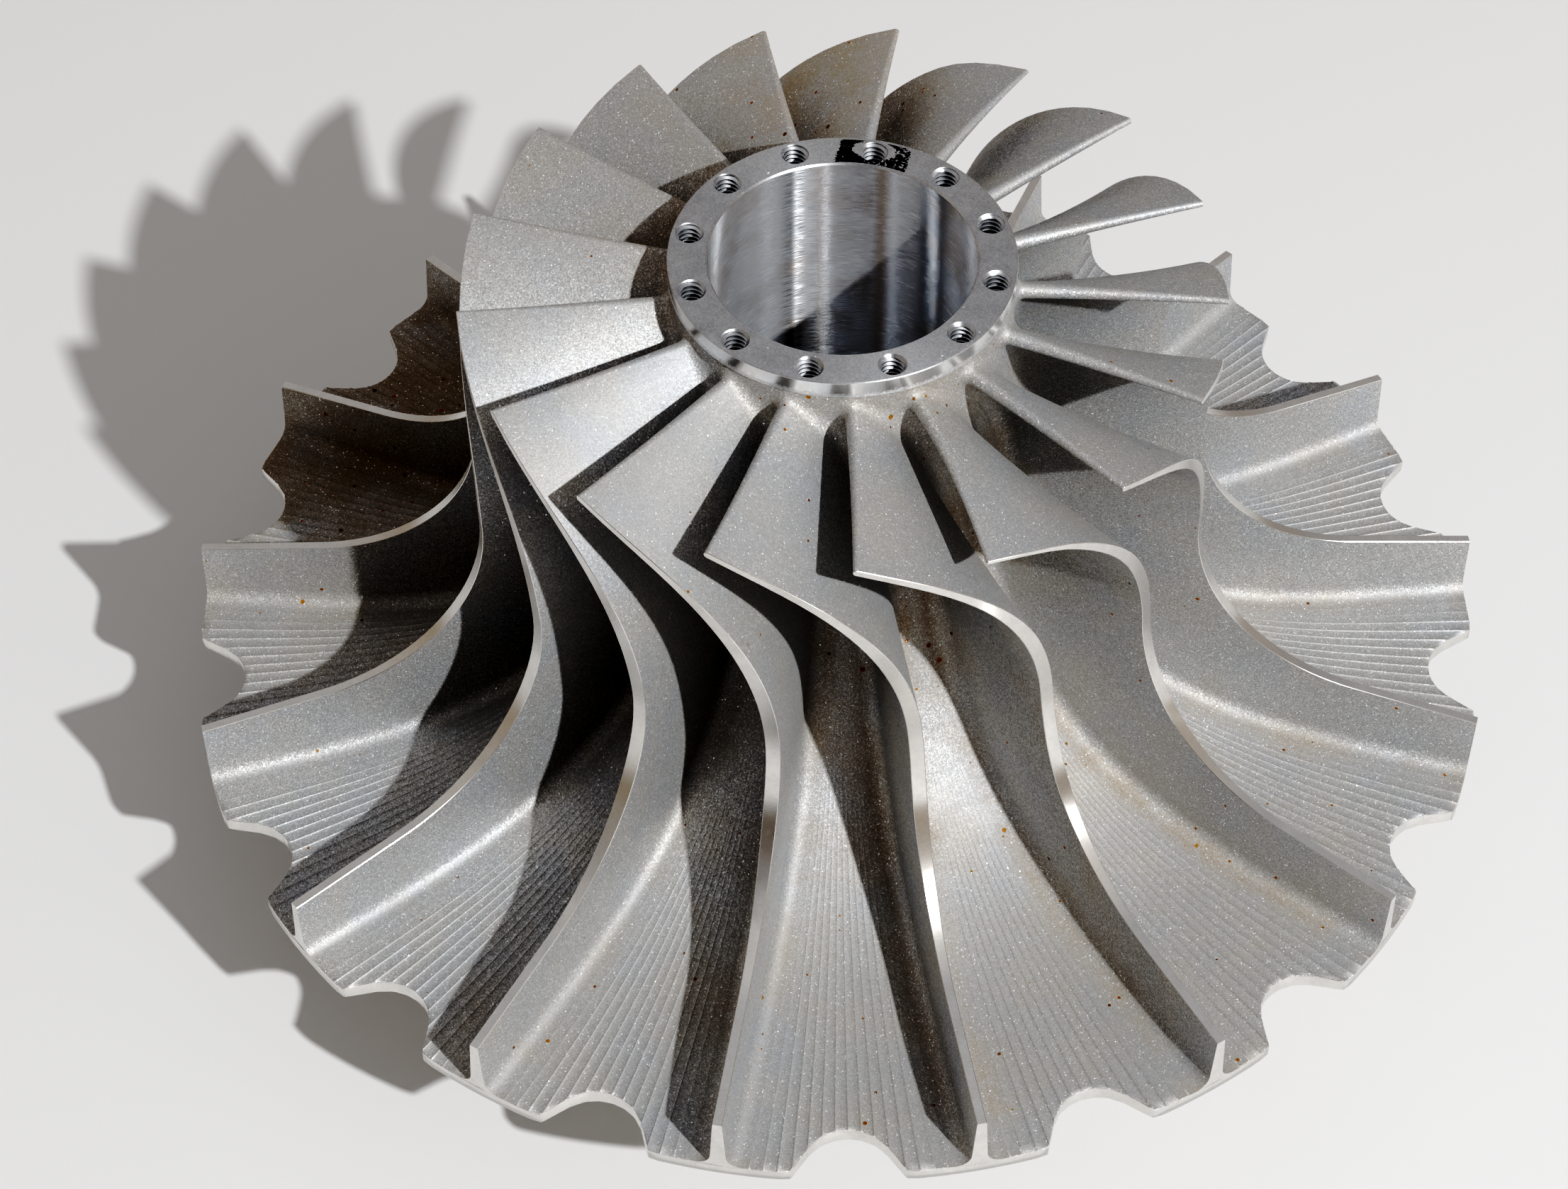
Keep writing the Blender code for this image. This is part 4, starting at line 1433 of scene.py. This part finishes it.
lamp_data = bpy.data.lights.new("key_lamp", "AREA")
lamp_data.shape = "DISK"
lamp_data.size = LAMP_SIZE
lamp_data.energy = LAMP_POWER
lamp_data.color = LAMP_COLOUR
lamp = bpy.data.objects.new("key_lamp", lamp_data)
bpy.context.scene.collection.objects.link(lamp)
lamp.location = LAMP_DIRECTION * LAMP_DISTANCE + LIT_SPOT
lamp.rotation_euler = LAMP_DIRECTION.to_track_quat("Z", "Y").to_euler()
print("lamp at", [round(value, 3) for value in lamp.location])

# %% [markdown]
# Metal shows mostly what it reflects, so the surround matters as much as the lamp. One ramp
# makes it lighter above than below. A second runs round the wheel in degrees from +X, with a
# dark stretch behind the camera that gives the tips and the ring their dark reflections, and
# pale walls beside it. The two are multiplied.

# %% Surround
SKY_STOPS = {0.0: "#978a7c", 0.9: "#bebec0"}
WALL_STOPS = {-180: "#c2c0bd", -150: "#a09d99", -130: "#bcbab8", -108: "#626266", -94: "#626266",
              -72: "#dcd8d2", -45: "#a9a8a8", -20: "#d4d0ca", 40: "#a9aaad", 75: "#b9b9ba",
              115: "#b9b9ba", 150: "#c0bebb", 180: "#c4c0ba"}
SURROUND_STRENGTH = 1.8


def fill_ramp(node, stops):
    """Gives a ramp these colours by place, from its first stop to its last."""
    elements = node.color_ramp.elements
    (first, first_code), *between, (last, last_code) = stops.items()
    elements[0].position = first
    elements[0].color = colour(first_code)
    elements[1].position = last
    elements[1].color = colour(last_code)
    for place, code in between:
        elements.new(place).color = colour(code)


def surround():
    world = bpy.data.worlds.new("studio_surround")
    world.use_nodes = True
    tree = world.node_tree
    parts = add(tree, "SeparateXYZ", {0: add(tree, "TexCoord").outputs["Generated"]}).outputs
    sky = add(tree, "ValToRGB", {0: parts["Z"]})
    fill_ramp(sky, SKY_STOPS)
    turn = add(tree, "Math", {0: parts["Y"], 1: parts["X"]}, operation="ARCTAN2")
    share = add(tree, "MapRange", {"Value": turn, "From Min": -math.pi, "From Max": math.pi})
    walls = add(tree, "ValToRGB", {0: share})
    fill_ramp(walls, {(degrees + 180.0) / 360.0: code for degrees, code in WALL_STOPS.items()})
    both = add(tree, "Mix", {"Factor": 1.0, "A": sky, "B": walls}, data_type="RGBA", blend_type="MULTIPLY")
    feed(tree.nodes["Background"], {"Color": both, "Strength": SURROUND_STRENGTH})
    return world


bpy.context.scene.world = surround()
print("surround:", bpy.context.scene.world.name)

# %% [markdown]
# A photo's print deepens the shadows and leaves the rest alone. The standard view would show
# them too pale, so a tone curve pulls the darkest lights down. Each pair is the light that comes
# in and the light that is shown.

# %% Firm shadows
SHADOW_CURVE = ((0.05, 0.003), (0.09, 0.02), (0.13, 0.072), (0.17, 0.143), (0.26, 0.255), (0.6, 0.61))
ALL_COLOURS = 3

settings = bpy.context.scene.view_settings
settings.view_transform = "Standard"
settings.use_curve_mapping = True
curve = settings.curve_mapping.curves[ALL_COLOURS]
for light, shown in SHADOW_CURVE:
    curve.points.new(light, shown)
settings.curve_mapping.update()
print("tone curve: %d points" % len(curve.points))
